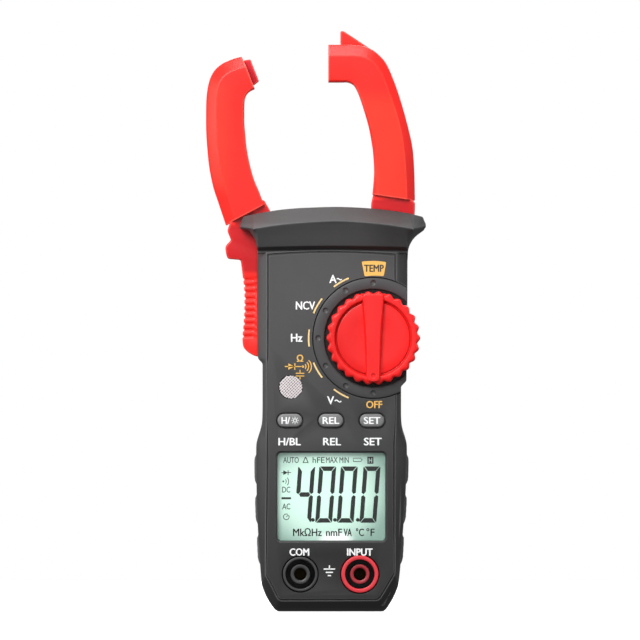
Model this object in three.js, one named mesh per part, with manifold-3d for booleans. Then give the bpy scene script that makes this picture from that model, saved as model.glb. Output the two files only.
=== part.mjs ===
// Digital clamp meter, standing upright: +Z runs up the handle, the face looks to -Y and +X is to the right of
// someone facing it. The origin is the centre of the flat end of the handle. Millimetres.
// Rest pose: jaw fully open, selector at its lowest position, buttons out, battery door on.
import * as THREE from 'three';
import { mergeVertices } from 'three/addons/utils/BufferGeometryUtils.js';
import Module from 'manifold-3d';

const wasm = await Module();
wasm.setup();

// ---------------------------------------------------------------- driving dimensions
const PART_Y_FRONT = -3.0;      // back edge of the front shell
const PART_Y_REAR = -2.7;       // front edge of the rear shell
const FACE_Y = -14.0;           // front panel
const BACK_Y = 15.0;            // flat back
const WALL_IN_FRONT = -12.0;    // inside of the front panel
const WALL_IN_REAR = 12.2;      // inside of the back wall
const SLOT_Y = 7.6;             // half depth of the slot that the lever swings in
const LEVER_Y = 7.2;            // half depth of the lever
const JAW_Y = 8.8;              // half depth of a jaw sleeve
const JAW_EDGE_Y = 5.0;         // half depth where the outer bevel starts
const SEAM = 0.15;              // each jaw half stops this far from mid depth
const PIVOT = [-7.1, 114.4];    // jaw pivot, x and z
const PIN_R = 1.95;
const DIAL = [13.93, 91.17];    // selector axis, x and z
const KNOB_R = 15.2;            // mean radius of the scalloped rim
const SCALLOP = 0.42;           // half height of a scallop
const SCALLOPS = 26;
const WELL_R = 16.35;
const DIAL_R = 20.3;
const JACKS = { com: { x: -10.4, r: 5.8 }, input: { x: 9.45, r: 6.2 } };
const JACK_Z = 12.5;
const BUTTON_X = [-13.9, -0.2, 13.5];
const BUTTON_Z = 63.7;
const WINDOW = { x0: -18.0, x1: 17.9, z0: 23.7, z1: 52.9, r: 1.3 };
const CELL_R = 5.15, CELL_L = 43.6, CELL_X = 6.3, CELL_Y = 6.4, CELL_Z0 = 28.9;
const GRILLE = [-13.55, 74.8];
const CASE_SCREWS = { lower_left: [-17.3, 7.0], lower_right: [17.3, 7.0], upper_left: [-18.4, 80.7], upper_right: [18.4, 80.7], top: [1.6, 124.6] };
const DOOR_SCREW = [0, 22.4];

// ---------------------------------------------------------------- helpers
function orient(g) {
  const p = g.attributes.position.array;
  const n = g.index ? g.index.count : p.length / 3;
  const at = (k) => { const i = g.index ? g.index.array[k] : k; return [p[3 * i], p[3 * i + 1], p[3 * i + 2]]; };
  let v = 0;
  for (let k = 0; k < n; k += 3) {
    const [a, b, c] = [at(k), at(k + 1), at(k + 2)];
    v += a[0] * (b[1] * c[2] - b[2] * c[1]) - a[1] * (b[0] * c[2] - b[2] * c[0]) + a[2] * (b[0] * c[1] - b[1] * c[0]);
  }
  if (v < 0) {
    const idx = g.index.array;
    for (let k = 0; k < idx.length; k += 3) { const t = idx[k]; idx[k] = idx[k + 1]; idx[k + 1] = t; }
  }
  return g;
}

function weld(g) {
  const c = g.clone();
  for (const k of Object.keys(c.attributes)) if (k !== 'position') c.deleteAttribute(k);
  return orient(mergeVertices(c, 1e-5));
}

function solid(g) {
  const w = weld(g);
  return new wasm.Manifold(new wasm.Mesh({
    numProp: 3, vertProperties: new Float32Array(w.attributes.position.array), triVerts: new Uint32Array(w.index.array),
  }));
}

function unsolid(m) {
  const out = m.getMesh();
  const g = new THREE.BufferGeometry();
  g.setAttribute('position', new THREE.BufferAttribute(new Float32Array(out.vertProperties), 3));
  g.setIndex(new THREE.BufferAttribute(new Uint32Array(out.triVerts), 1));
  return g;
}

// base minus and plus lists of geometries
const cut = (base, ...tools) => unsolid(tools.reduce((m, t) => m.subtract(solid(t)), solid(base)));
const join = (base, ...more) => unsolid(more.reduce((m, t) => m.add(solid(t)), solid(base)));
const meet = (a, b) => unsolid(solid(a).intersect(solid(b)));

// outline in x, z pushed through from y0 to y1
function prism(poly, y0, y1) {
  const s = new THREE.Shape(poly.map(([x, z]) => new THREE.Vector2(x, z)));
  const g = new THREE.ExtrudeGeometry(s, { depth: y1 - y0, bevelEnabled: false, steps: 1 });
  g.rotateX(Math.PI / 2);
  g.translate(0, y1, 0);
  return weld(g);
}

const block = (x0, x1, y0, y1, z0, z1) =>
  weld(new THREE.BoxGeometry(x1 - x0, y1 - y0, z1 - z0).translate((x0 + x1) / 2, (y0 + y1) / 2, (z0 + z1) / 2));

function circle(x, z, r, n = 24, a0 = 0) {
  return Array.from({ length: n }, (_, k) => {
    const a = a0 + (2 * Math.PI * k) / n;
    return [x + r * Math.cos(a), z + r * Math.sin(a)];
  });
}
const rod = (x, z, r, y0, y1, n = 24) => prism(circle(x, z, r, n), y0, y1);

function pill(x, z, w, h, n = 5) {
  const r = h / 2, c = w / 2 - r, pts = [];
  for (let k = 0; k <= n; k++) { const a = -Math.PI / 2 + (Math.PI * k) / n; pts.push([x + c + r * Math.cos(a), z + r * Math.sin(a)]); }
  for (let k = 0; k <= n; k++) { const a = Math.PI / 2 + (Math.PI * k) / n; pts.push([x - c + r * Math.cos(a), z + r * Math.sin(a)]); }
  return pts;
}

function roundRect(x0, x1, z0, z1, r, n = 4) {
  const pts = [];
  for (const [cx, cz, a0] of [[x1 - r, z0 + r, -90], [x1 - r, z1 - r, 0], [x0 + r, z1 - r, 90], [x0 + r, z0 + r, 180]]) {
    for (let k = 0; k <= n; k++) { const a = ((a0 + (90 * k) / n) * Math.PI) / 180; pts.push([cx + r * Math.cos(a), cz + r * Math.sin(a)]); }
  }
  return pts;
}

// closed surface through rings of equal length, flat ends
function loft(rings) {
  const n = rings[0].length, pos = [], idx = [];
  for (const r of rings) for (const p of r) pos.push(p[0], p[1], p[2]);
  for (let k = 0; k + 1 < rings.length; k++) {
    for (let i = 0; i < n; i++) {
      const j = (i + 1) % n, a = k * n + i, b = k * n + j, c = a + n, d = b + n;
      idx.push(a, b, d, a, d, c);
    }
  }
  const cap = (k, flip) => {
    const r = rings[k].map((p) => new THREE.Vector3(...p));
    const nn = new THREE.Vector3();
    for (let i = 0; i < n; i++) {
      const a = r[i], b = r[(i + 1) % n];
      nn.x += (a.y - b.y) * (a.z + b.z); nn.y += (a.z - b.z) * (a.x + b.x); nn.z += (a.x - b.x) * (a.y + b.y);
    }
    nn.normalize();
    const u = Math.abs(nn.x) < 0.8 ? new THREE.Vector3(1, 0, 0) : new THREE.Vector3(0, 0, 1);
    u.addScaledVector(nn, -u.dot(nn)).normalize();
    const v = nn.clone().cross(u);
    const flat = r.map((p) => new THREE.Vector2(p.dot(u), p.dot(v)));
    for (const [a, b, c] of THREE.ShapeUtils.triangulateShape(flat, [])) {
      if (flip) idx.push(k * n + a, k * n + c, k * n + b); else idx.push(k * n + a, k * n + b, k * n + c);
    }
  };
  // The side quads wind one way; the first cap is wound against them and the last with them.
  cap(0, true); cap(rings.length - 1, false);
  const g = new THREE.BufferGeometry();
  g.setAttribute('position', new THREE.BufferAttribute(new Float32Array(pos), 3));
  g.setIndex(idx);
  return weld(g);
}

// profile of [radius, y] turned about the line through x, z that runs along Y
function turned(profile, x, z, n = 24) {
  const g = new THREE.LatheGeometry(profile.map(([r, y]) => new THREE.Vector2(r, y)), n);
  g.translate(x, 0, z);
  return weld(g);
}

// profile of [radius, z] turned about the line through x, y that runs along Z
function turnedZ(profile, x, y, n = 24) {
  const g = new THREE.LatheGeometry(profile.map(([r, t]) => new THREE.Vector2(r, t)), n);
  g.rotateX(Math.PI / 2);
  g.translate(x, y, 0);
  return weld(g);
}

class Coil extends THREE.Curve {
  constructor(f) { super(); this.f = f; }
  getPoint(t, out = new THREE.Vector3()) { return out.set(...this.f(t)); }
}
function wire(f, r, steps, sides = 8) {
  const s = new THREE.Shape(circle(0, 0, r, sides).map(([a, b]) => new THREE.Vector2(a, b)));
  return weld(new THREE.ExtrudeGeometry(s, { steps, bevelEnabled: false, extrudePath: new Coil(f) }));
}

const root = new THREE.Group();
function add(name, geometry, color, roughness = 0.55, metalness = 0) {
  const m = new THREE.Mesh(geometry, new THREE.MeshStandardMaterial({ color, roughness, metalness }));
  m.name = name;
  root.add(m);
}
const RED = 0xff322d, GREY = 0x4b4b4d, DARK = 0x2c2c2e, BRASS = 0xc9a24a, STEEL = 0xb8bbc0, PALE = 0xbfe3d6;

// ---------------------------------------------------------------- the two shells of the handle
// Each row: silhouette x, z, then the matching point on the edge of the front panel.
const LEFT = [
  [-24.6, 124.0, -21.6, 119.5], [-24.8, 112, -21.6, 112], [-24.8, 100, -21.6, 100], [-24.7, 88, -21.65, 88],
  [-24.5, 84.3, -21.65, 84.3], [-23.0, 82.7, -21.65, 82.7], [-23.0, 74, -21.7, 74], [-23.0, 63.8, -21.7, 63.8],
  [-23.55, 61.0, -21.7, 60.6], [-24.9, 56.9, -21.75, 56.6], [-25.15, 55.0, -21.8, 54.6], [-25.1, 47, -21.8, 47],
  [-24.95, 38, -21.9, 38], [-24.7, 30, -22.0, 30], [-24.2, 22, -22.0, 22], [-23.75, 14.4, -22.05, 15],
  [-23.25, 8.9, -22.0, 11.9], [-22.0, 5.3, -20.4, 8.9], [-20.0, 2.0, -18.7, 5.6], [-18.85, 0.6, -17.9, 4.0],
  [-17.8, 0, -17.0, 3.4],
];
const RIGHT = [
  [17.2, 0, 15.4, 3.5], [18.1, 0.6, 16.3, 4.1], [19.15, 2.0, 17.4, 5.8], [21.0, 5.2, 19.4, 9.2], [22.3, 8.6, 21.1, 12.2],
  [22.95, 14.4, 21.2, 15.2], [23.5, 22, 21.2, 22], [24.1, 30, 21.25, 30], [24.65, 38, 21.3, 38], [25.1, 47, 21.4, 47],
  [25.2, 54.4, 21.4, 54], [25.0, 56.8, 21.4, 56.4], [23.6, 61, 21.45, 60.6], [23.2, 63.8, 21.5, 63.8], [23.2, 70, 21.5, 70],
  [23.2, 75.0, 21.6, 75.0], [25.0, 76.9, 21.6, 76.8], [25.15, 88, 21.7, 88], [25.3, 100, 21.8, 100], [25.35, 112, 21.8, 112],
  [25.35, 124.0, 21.8, 119.5], [12, 124.0, 12, 120.15], [0, 124.0, 0, 120.4], [-12, 124.0, -12, 120.15],
];
const EDGE = [...LEFT, ...RIGHT];
const ring = (t, y) => EDGE.map(([sx, sz, px, pz]) => [sx + (px - sx) * t, y, sz + (pz - sz) * t]);

// Guard across the top: x, top z, crest z, crest depth, lowest z behind
const GUARD = [
  [-30.4, 129.4, 128.5, 11.5, 127.5], [-29.3, 131.6, 128.3, 13.4, 127.3], [-26.0, 132.4, 127.7, 18.5, 124.6],
  [-24.6, 132.7, 127.9, 18.5, 119.5], [-18, 133.8, 128.9, 18.5, 119.5], [-12, 134.4, 129.5, 18.5, 119.5],
  [-6, 134.7, 129.9, 18.5, 119.5], [1.8, 134.9, 130.2, 18.5, 119.5], [10, 134.6, 129.8, 18.5, 119.5],
  [17.7, 133.9, 129.1, 18.5, 119.5], [24.8, 132.9, 128.0, 18.5, 119.5], [27.2, 132.4, 127.6, 18.5, 124.4],
  [30.3, 131.6, 128.2, 13.4, 126.8], [31.45, 129.2, 128.6, 11.5, 128.1],
];
const BAND_Y = 9.6;
function guard(sign, depth) {
  return loft(GUARD.map(([x, zt, zc, yc, zb]) => {
    const inside = Math.abs(x) < 25.5, f = (yc - 9.6) / 8.9, c = 9.6 + depth * f;
    const lip = 121.9 - 0.0017 * x * x, top = zc - Math.min(0.4, 0.3 * (zc - zb));
    const low = inside ? lip : zb + 0.35 * (zc - zb);
    const seat = inside ? 14.0 : Math.min(c, 12.2), s2 = inside ? seat + 0.3 * (c - seat) : seat;
    const p = inside
      ? [[BAND_Y - 0.4, zt], [BAND_Y + 0.9 * f + 0.1, zt], [c, zc], [c, top], [c - 0.45 * (c - s2), top - 0.4 * (top - lip)], [s2, lip],
        [seat - 0.2, lip - 1.1], [seat - 0.3, lip - 1.9], [BAND_Y - 0.4, zb]]
      : [[BAND_Y - 0.4, zt], [BAND_Y + 0.9 * f + 0.1, zt], [c, zc], [c - 0.01, top], [c - 0.03 - 0.45 * (c - seat), top - 0.35 * (top - low)],
        [c - 0.08 - 0.85 * (c - seat), top - 0.75 * (top - low)], [seat - 0.14, low + 0.04 * (top - low)], [seat - 0.3, zb + 0.02], [BAND_Y - 0.4, zb]];
    return p.map(([y, z]) => [x, sign * y, z]);
  }));
}
const SILHOUETTE_TOP = [
  [-24.6, 117], [-24.4, 121.3], [-25.2, 123.4], [-26.7, 125.9], [-27.6, 127.0], [-30.2, 127.5], [-30.4, 129.3], [-29.4, 131.6],
  [-24.6, 132.7], [-18, 133.8], [-12, 134.4], [-6, 134.7], [1.8, 134.9], [10, 134.6], [17.7, 133.9], [24.8, 132.9],
  [30.4, 131.6], [31.2, 129.7], [31.5, 128.5], [30.8, 127.05], [28.85, 125.7], [27.4, 124.35], [26.5, 123.0], [25.9, 121.7],
  [25.5, 120.3], [25.4, 117],
];
const mid = (y0, y1) => prism(SILHOUETTE_TOP, y0, y1);

// inner hollow of the handle
const HOLLOW = [
  [-22.7, 114.5], [-22.7, 85.6], [-21.0, 84.2], [-21.0, 62.6], [-22.9, 56], [-22.8, 30], [-21.2, 15], [-20.4, 9.0], [-17.4, 2.2],
  [17.4, 2.2], [20.4, 9.0], [21.2, 15], [22.8, 30], [22.9, 56], [21.0, 62.6], [21.0, 76], [22.9, 78], [22.9, 114.5], [11.4, 117],
  [11.4, 131.6], [-8.2, 132.0], [-8.2, 117],
];
const JAW_WAY = [[-40, 84.4], [-12, 84.4], [-12, 114], [-6, 114], [-6, 128.4], [-9.8, 128.4], [-9.8, 140], [-40, 140]];     // where the lever swings
const ROOT_WAY = [[13.0, 117.4], [23.4, 117.4], [23.4, 125.6], [28.3, 129.8], [28.3, 140], [13.0, 140]];                            // where the fixed jaw sits

const DIAL_SIDE = (d) => [[-10, 60], [23.1 - d, 60], [23.1 - d, 74.9], [24.9 - d, 76.8], [25.05 - d, 90], [25.1 - d, 120], [-10, 120]];     // the dial stops at the handle's side
const window_ = roundRect(WINDOW.x0, WINDOW.x1, WINDOW.z0, WINDOW.z1, WINDOW.r);
const screws = Object.entries(CASE_SCREWS);

let front = loft([ring(1, FACE_Y), ring(0.86, -13.6), ring(0.36, -11.6), ring(0, -9.6), ring(0, PART_Y_FRONT)]);
front = join(front, mid(-BAND_Y, PART_Y_FRONT), guard(-1, 8.9), meet(rod(...DIAL, DIAL_R + 0.3, -13.3, -6, 44), prism(DIAL_SIDE(0), -20, 0)));
front = cut(front,
  prism(HOLLOW, WALL_IN_FRONT, 0), prism(JAW_WAY, -SLOT_Y, 0), prism(ROOT_WAY, -SLOT_Y, 0),
  rod(...DIAL, DIAL_R, -19, -13.3, 44), rod(...DIAL, WELL_R, -19, -12.9, 36), rod(...DIAL, 3.4, -14, -10, 16),
  prism(window_, -15, -11), prism(roundRect(WINDOW.x0 - 0.5, WINDOW.x1 + 0.5, WINDOW.z0 - 0.5, WINDOW.z1 + 0.5, 1.7), -15, -13.75),
  rod(JACKS.com.x, JACK_Z, JACKS.com.r + 0.3, -15, -11, 20), rod(JACKS.input.x, JACK_Z, JACKS.input.r + 0.3, -15, -11, 20),
  rod(...GRILLE, 4.15, -15, -11, 16), ...BUTTON_X.map((x) => prism(pill(x, BUTTON_Z, 8.9, 5.1, 5), -15, -11)));
front = join(front, ...screws.map(([, [x, z]]) => rod(x, z, 2.45, -12.4, PART_Y_FRONT, 10)), rod(...PIVOT, 4.2, -12.4, -SLOT_Y - 0.1, 20));
front = cut(front, ...screws.map(([, [x, z]]) => rod(x, z, 1.3, -10, 0, 8)), rod(...PIVOT, PIN_R + 0.35, -11.4, 0, 20));
add('front_case', front, GREY);

// Battery bay, door recess and the bosses are moulded into the rear shell.
const BAY = [-13.4, 13.4, 0.6, 16, 26.4, 75.0];
const DOOR = { x0: -15.9, x1: 15.9, z0: 18.4, z1: 77.4, r: 2.4 };
let rear = loft([ring(0, PART_Y_REAR), ring(0, 10.4), ring(0.5, 13.4), ring(0.9, 14.6), ring(1.18, BACK_Y)]);
rear = join(rear, mid(PART_Y_REAR, BAND_Y), guard(1, BACK_Y - 9.6));
rear = cut(rear, prism(HOLLOW, -4, WALL_IN_REAR), prism(JAW_WAY, -4, SLOT_Y), prism(ROOT_WAY, -4, SLOT_Y));
rear = join(rear, block(-14.8, 14.8, -0.8, 13.2, 25.0, 76.4), rod(...DOOR_SCREW, 3.2, 3, 13, 20),
  ...screws.map(([, [x, z]]) => rod(x, z, 2.9, PART_Y_REAR, 13, 10)), rod(...PIVOT, 4.2, SLOT_Y + 0.1, 13, 20));
const pads = [];
for (const [side, s] of [['left', -1], ['right', 1]]) {
  for (const [k, z0, z1, xa, xb] of s < 0
    ? [['upper', 42.5, 52.2, 25.05, 25.15], ['middle', 29.2, 38.8, 24.65, 24.95], ['lower', 15.8, 25.5, 23.9, 24.35]]
    : [['upper', 42.5, 52.2, 25.0, 25.2], ['middle', 29.2, 38.8, 24.1, 24.65], ['lower', 15.8, 25.5, 23.15, 23.7]]) {
    pads.push([`grip_pad_${side}_${k}`, s, z0, z1, xa, xb]);
  }
}
const PAD_Y0 = -1.6, PAD_Y1 = 9.4;
rear = cut(rear, block(...BAY), prism(roundRect(DOOR.x0, DOOR.x1, DOOR.z0, DOOR.z1, DOOR.r), 13.3, 16),
  rod(...DOOR_SCREW, 1.4, 4, 16, 12), ...screws.map(([, [x, z]]) => rod(x, z, 1.35, -4, 16, 8)),
  ...screws.map(([, [x, z]]) => rod(x, z, 2.3, 9.0, 16, 10)), rod(...PIVOT, PIN_R + 0.35, 0, 11.8, 20),
  ...pads.map(([, s, z0, z1, xa, xb]) => prism([[s * (xa - 0.85), z0 - 0.3], [s * (xa + 3), z0 - 0.3], [s * (xb + 3), z1 + 0.3], [s * (xb - 0.85), z1 + 0.3]], PAD_Y0 - 0.3, PAD_Y1 + 0.3)));
add('rear_case', rear, GREY);

for (const [name, s, z0, z1, xa, xb] of pads) {
  const h = (z1 - z0), at = (x, k) => s * x, inner = [[xa - 0.55, z0], [xb - 0.55, z1]];
  const out = (grow, dz) => [[s * inner[0][0], z0 + dz], [s * (xa + grow - 0.35), z0 + dz], [s * (xa + grow), z0 + dz + 0.9],
    [s * (xb + grow), z1 - dz - 0.9], [s * (xb + grow - 0.35), z1 - dz], [s * inner[1][0], z1 - dz]];
  const rings = [[PAD_Y0, 0.25, 0.35], [PAD_Y0 + 0.7, 0.65, 0], [PAD_Y1 - 0.7, 0.65, 0], [PAD_Y1, 0.25, 0.35]]
    .map(([y, g, dz]) => out(g, dz).map(([x, z]) => [x, y, z]));
  add(name, loft(rings), 0x6d6d70, 0.8);
}

// battery door, lifted straight back once its screw is out
let door = prism(roundRect(DOOR.x0 + 0.3, DOOR.x1 - 0.3, DOOR.z0 + 0.3, DOOR.z1 - 0.3, DOOR.r - 0.2), 13.6, BACK_Y);
door = cut(door, rod(...DOOR_SCREW, 1.4, 13, 16, 14), rod(...DOOR_SCREW, 2.7, 14.05, 16, 18),
  ...[-1, 0, 1, 2, 3].map((k) => prism(pill(0, 66 - 2.3 * k, 14, 0.9, 4), 14.5, 16)));
add('battery_door', door, GREY);

// screws: crossed slot in a pan head, plain shank
function screw(x, z, headY, tipY, r, headR, headT = 1.0) {
  const g = turned([[0, tipY], [r * 0.4, tipY], [r, tipY + 1.2], [r, headY - headT], [headR, headY - headT], [headR, headY - 0.3], [headR - 0.4, headY], [0, headY]], x, z, 10);
  return cut(g, block(x - headR * 0.62, x + headR * 0.62, headY - 0.4, headY + 1, z - 0.25, z + 0.25), block(x - 0.25, x + 0.25, headY - 0.4, headY + 1, z - headR * 0.62, z + headR * 0.62));
}
for (const [name, [x, z]] of screws) add(`case_screw_${name}`, screw(x, z, 10.3, -8.6, 0.95, 1.9), STEEL, 0.35, 0.9);
add('battery_door_screw', screw(...DOOR_SCREW, 14.95, 5.0, 1.0, 2.3, 0.6), STEEL, 0.35, 0.9);

// ---------------------------------------------------------------- jaws
// Stations from tip to root: outer silhouette, outer crest, inner crest, inner silhouette, each x, z.
const FIXED = [
  [[-1.07, 189.05], [-1.07, 185.33], [-1.07, 177.07], [-1.07, 176.5]],
  [[3.83, 189.05], [3.5, 185.33], [3.17, 177.07], [3.17, 176.5]],
  [[8.5, 188.85], [7.5, 185.33], [5.67, 176.97], [5.33, 176.5]],
  [[12.75, 187.8], [11.17, 184.6], [7.33, 176.0], [7.0, 175.85]],
  [[16.05, 185.45], [14.1, 182.95], [8.5, 174.17], [7.95, 174.8]],
  [[18.62, 182.15], [16.5, 179.85], [9.8, 171.17], [9.22, 172.1]],
  [[21.6, 175.0], [19.0, 173.75], [11.5, 166.5], [10.87, 167.15]],
  [[23.85, 167.95], [21.15, 167.55], [13.2, 161.5], [12.4, 161.8]],
  [[25.82, 160.55], [23.0, 160.9], [14.5, 156.83], [13.35, 156.83]],
  [[27.08, 154.5], [24.0, 154.5], [15.15, 152.5], [13.93, 152.5]],
  [[27.65, 146.83], [24.7, 147.17], [15.5, 146.5], [14.23, 146.17]],
  [[27.85, 136.97], [25.1, 137.33], [15.5, 138.77], [13.65, 138.97]],
];
const MOVING = [
  [[-30.0, 185.1], [-28.45, 181.75], [-25.8, 174.75], [-25.6, 174.3]],
  [[-33.25, 184.15], [-31.45, 180.9], [-27.2, 173.75], [-27.05, 173.6]],
  [[-36.95, 182.35], [-34.7, 179.5], [-28.35, 172.5], [-28.2, 172.6]],
  [[-39.4, 179.9], [-36.8, 177.5], [-29.1, 170.7], [-28.9, 171.0]],
  [[-40.9, 176.45], [-37.95, 175.0], [-29.35, 168.5], [-29.1, 168.67]],
  [[-41.7, 171.5], [-38.5, 170.83], [-29.4, 166.0], [-29.1, 166.17]],
  [[-41.85, 165.5], [-38.55, 165.17], [-29.35, 163.17], [-29.1, 163.17]],
  [[-41.8, 159.83], [-38.35, 159.5], [-29.1, 159.17], [-28.8, 159.33]],
  [[-41.4, 153.83], [-37.95, 153.67], [-28.5, 154.5], [-28.3, 154.67]],
  [[-40.75, 147.83], [-37.05, 148.0], [-27.5, 149.83], [-27.35, 149.5]],
  [[-39.45, 141.5], [-35.6, 141.5], [-25.85, 144.17], [-25.7, 143.5]],
  [[-37.6, 135.83], [-33.85, 136.0], [-23.8, 139.33], [-23.8, 138.83]],
  [[-35.2, 128.63], [-32.1, 130.5], [-23.2, 135.17], [-22.3, 135.67]],
];
const mix = (a, b, t) => [a[0] + (b[0] - a[0]) * t, a[1] + (b[1] - a[1]) * t];
const sleeve = (stations, s) => loft(stations.map(([o, c, i2, i]) => [
  [o[0], s * SEAM, o[1]], [o[0], s * JAW_EDGE_Y, o[1]], [c[0], s * JAW_Y, c[1]], [i2[0], s * JAW_Y, i2[1]], [i[0], s * (JAW_Y - 0.6), i[1]], [i[0], s * SEAM, i[1]],
]));
// band along the middle of a jaw, half as wide as asked
function band(stations, half, from, to, extra = []) {
  const mids = stations.slice(from, to).map(([o, , , i]) => [mix(o, i, 0.5), o, i]);
  const left = [], right = [];
  for (const [m, o, i] of mids) {
    const w = Math.hypot(o[0] - i[0], o[1] - i[1]) / 2, k = half / w;
    left.push(mix(m, o, k)); right.push(mix(m, i, k));
  }
  for (const [l, r] of extra) { left.push(l); right.push(r); }
  return [...left, ...right.reverse()];
}
const CORE_Y = 3.2, COIL_Y = 4.6, POCKET_Y = 5.0;

// Fixed jaw
const FIXED_ROOT = [[14.3, 141], [13.25, 136], [13.25, 117.8], [23.0, 117.8], [23.0, 125.9], [27.6, 130.0], [27.85, 134], [27.6, 140]];
const fixedRoot = (s) => prism(FIXED_ROOT, Math.min(s * SEAM, s * LEVER_Y), Math.max(s * SEAM, s * LEVER_Y));
const fixedPocket = (s) => [
  prism(band(FIXED, 4.2, 1, 12, [[[21.6, 122], [15.2, 122]]]), Math.min(0, s * POCKET_Y), Math.max(0, s * POCKET_Y)),
  prism([[-2, 187.3], [1.6, 187.3], [1.6, 178.0], [-2, 178.0]], Math.min(0, s * 5.4), Math.max(0, s * 5.4)),
];
add('fixed_jaw_front_shell', cut(join(sleeve(FIXED, -1), fixedRoot(-1)), ...fixedPocket(-1)), RED, 0.45);
const hook = prism([[2.97, 187.5], [2.97, 193.6], [3.4, 193.75], [4.4, 193.5], [13.1, 187.7], [12.8, 186.0]], 2.2, 7.4);
add('fixed_jaw_rear_shell', cut(join(sleeve(FIXED, 1), fixedRoot(1), hook), ...fixedPocket(1)), RED, 0.45);

// Moving jaw and its trigger: one lever on the pivot pin
const LEVER = [
  [-34.9, 131.5], [-34.85, 127.0], [-34.3, 125.6], [-33.6, 124.15], [-33.75, 123.5], [-34.8, 122.5], [-35.4, 121.6],
  [-35.35, 120.4], [-35.1, 119.0], [-34.8, 117.95], [-34.3, 117.55], [-30.35, 117.2], [-30.1, 115.8], [-29.75, 113.0],
  [-29.55, 111.2], [-29.2, 108.6], [-29.0, 105.6], [-29.05, 102.5], [-29.1, 99.0], [-29.35, 95.6], [-29.65, 92.6],
  [-29.75, 90.4], [-29.45, 88.2], [-28.3, 86.7], [-26.4, 85.5], [-24.9, 84.9], [-21.8, 84.9], [-13.2, 86.5], [-12.4, 104.0],
  [-10.6, 108.9], [-7.1, 108.2], [-3.0, 110.0], [-1.1, 114.4], [-3.0, 118.6], [-6.5, 120.3], [-10.5, 121.9], [-17.6, 127.6],
  [-19.4, 131.8], [-22.5, 137.2], [-30, 137],
];
const RIB_Z = [110.6, 108.5, 106.4, 104.3, 102.2, 100.1, 98.0, 95.9, 93.8, 91.7];
const ribs = (s) => RIB_Z.map((z) => prism([[-31.5, z - 0.32], [-28.5, z - 0.28], [-28.5, z + 0.28], [-31.5, z + 0.32]], -9, 9));
const NOSE = [[-30.2, 183.0], [-28.9, 183.9], [-27.05, 184.15], [-24.2, 176.9], [-25.8, 175.6], [-27.6, 175.4]];     // enters the fixed jaw's socket when shut
const leverHalf = (s) => {
  let g = join(sleeve(MOVING, s), prism(LEVER, Math.min(s * SEAM, s * LEVER_Y), Math.max(s * SEAM, s * LEVER_Y)));
  const stub = prism(NOSE, Math.min(s * SEAM, s * 4.7), Math.max(s * SEAM, s * 4.7));
  g = join(g, stub);
  g = cut(g, prism(band(MOVING, 4.2, 1, 13, [[[-27.5, 124.5], [-20.5, 129.0]]]), Math.min(0, s * POCKET_Y), Math.max(0, s * POCKET_Y)),
    rod(...PIVOT, PIN_R + 0.35, -20, 20, 24), ...ribs(s),
    prism([[-25.5, 112.5], [-25.5, 90.5], [-16.2, 89.6], [-15.8, 108.5]], Math.min(0, s * 5.2), Math.max(0, s * 5.2)));
  if (s > 0) g = cut(g, cut(rod(...PIVOT, 6.4, 4.3, 9, 28), rod(...PIVOT, 3.4, 4, 10, 20)), block(-1.6, 3, 4.3, 9, 108, 121));
  return g;
};
add('moving_jaw_front_shell', leverHalf(-1), RED, 0.45);
add('moving_jaw_rear_shell', leverHalf(1), RED, 0.45);

// Iron cores and their windings. A winding is a square tube round the middle of its core.
const coreGeo = (st, a, b, extra) => prism(band(st, 2.6, a, b, extra), -CORE_Y, CORE_Y);
const coilGeo = (st, a, b) => cut(prism(band(st, 3.85, a, b), -COIL_Y, COIL_Y), prism(band(st, 2.95, a - 1, b + 1), -CORE_Y - 0.35, CORE_Y + 0.35));
add('fixed_core', coreGeo(FIXED, 1, 12, [[[20.6, 124], [16.2, 124]]]), 0x8d9096, 0.5, 0.8);
add('moving_core', coreGeo(MOVING, 1, 13, [[[-27.2, 126.6], [-22.9, 129.4]]]), 0x8d9096, 0.5, 0.8);
add('fixed_coil', coilGeo(FIXED, 5, 10), 0xb5622b, 0.5, 0.6);
add('moving_coil', coilGeo(MOVING, 5, 10), 0xb5622b, 0.5, 0.6);
add('jaw_pivot_pin', rod(...PIVOT, PIN_R, -11.1, 11.5, 20), STEEL, 0.3, 0.95);
add('jaw_return_spring', wire((t) => {
  const a = 2 * Math.PI * 2.1 * t, r = 4.75;
  return [PIVOT[0] + r * Math.cos(a), 5.0 + 1.95 * t, PIVOT[1] + r * Math.sin(a)];
}, 0.4, 36, 6), STEEL, 0.35, 0.9);

// ---------------------------------------------------------------- selector
function knob() {
  const n = SCALLOPS * 3, rings = [];
  const level = (y, r, s) => Array.from({ length: n }, (_, k) => {
    const a = (2 * Math.PI * k) / n;           // valleys sit straight up and straight down
    const rr = r + s * (k % 3 ? 1 : -1);
    return [DIAL[0] + rr * Math.sin(a), y, DIAL[1] + rr * Math.cos(a)];
  });
  for (const [y, r, s] of [[-13.2, 14.7, 0.3], [-13.7, KNOB_R, SCALLOP], [-17.2, KNOB_R - 0.1, SCALLOP], [-17.9, KNOB_R - 0.5, SCALLOP * 0.8], [-18.2, KNOB_R - 1.2, 0.25],
    [-18.2, 13.1, 0], [-17.5, 12.7, 0]]) rings.push(level(y, r, s));
  const shaft = rod(...DIAL, 3.0, -13.4, -11.9, 20);
  const grip = (k, y) => [[-3.5, 14.3], [-3.3, 11], [-2.7, 6], [-2.25, 0], [-2.15, -10], [-2.15, -13.6], [-1.5, -14.4], [1.5, -14.4], [2.15, -13.6], [2.15, -10], [2.25, 0], [2.7, 6], [3.3, 11], [3.5, 14.3]]
    .map(([x, z]) => [DIAL[0] + x * (1 - k * 0.16), y, DIAL[1] + z * (1 - k * 0.03)]);
  return cut(join(loft(rings), shaft, loft([grip(0, -17.0), grip(0, -18.6), grip(1, -19.2)])), rod(DIAL[0], DIAL[1] - 12.6, 0.8, -20, -18.8, 12));
}
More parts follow.
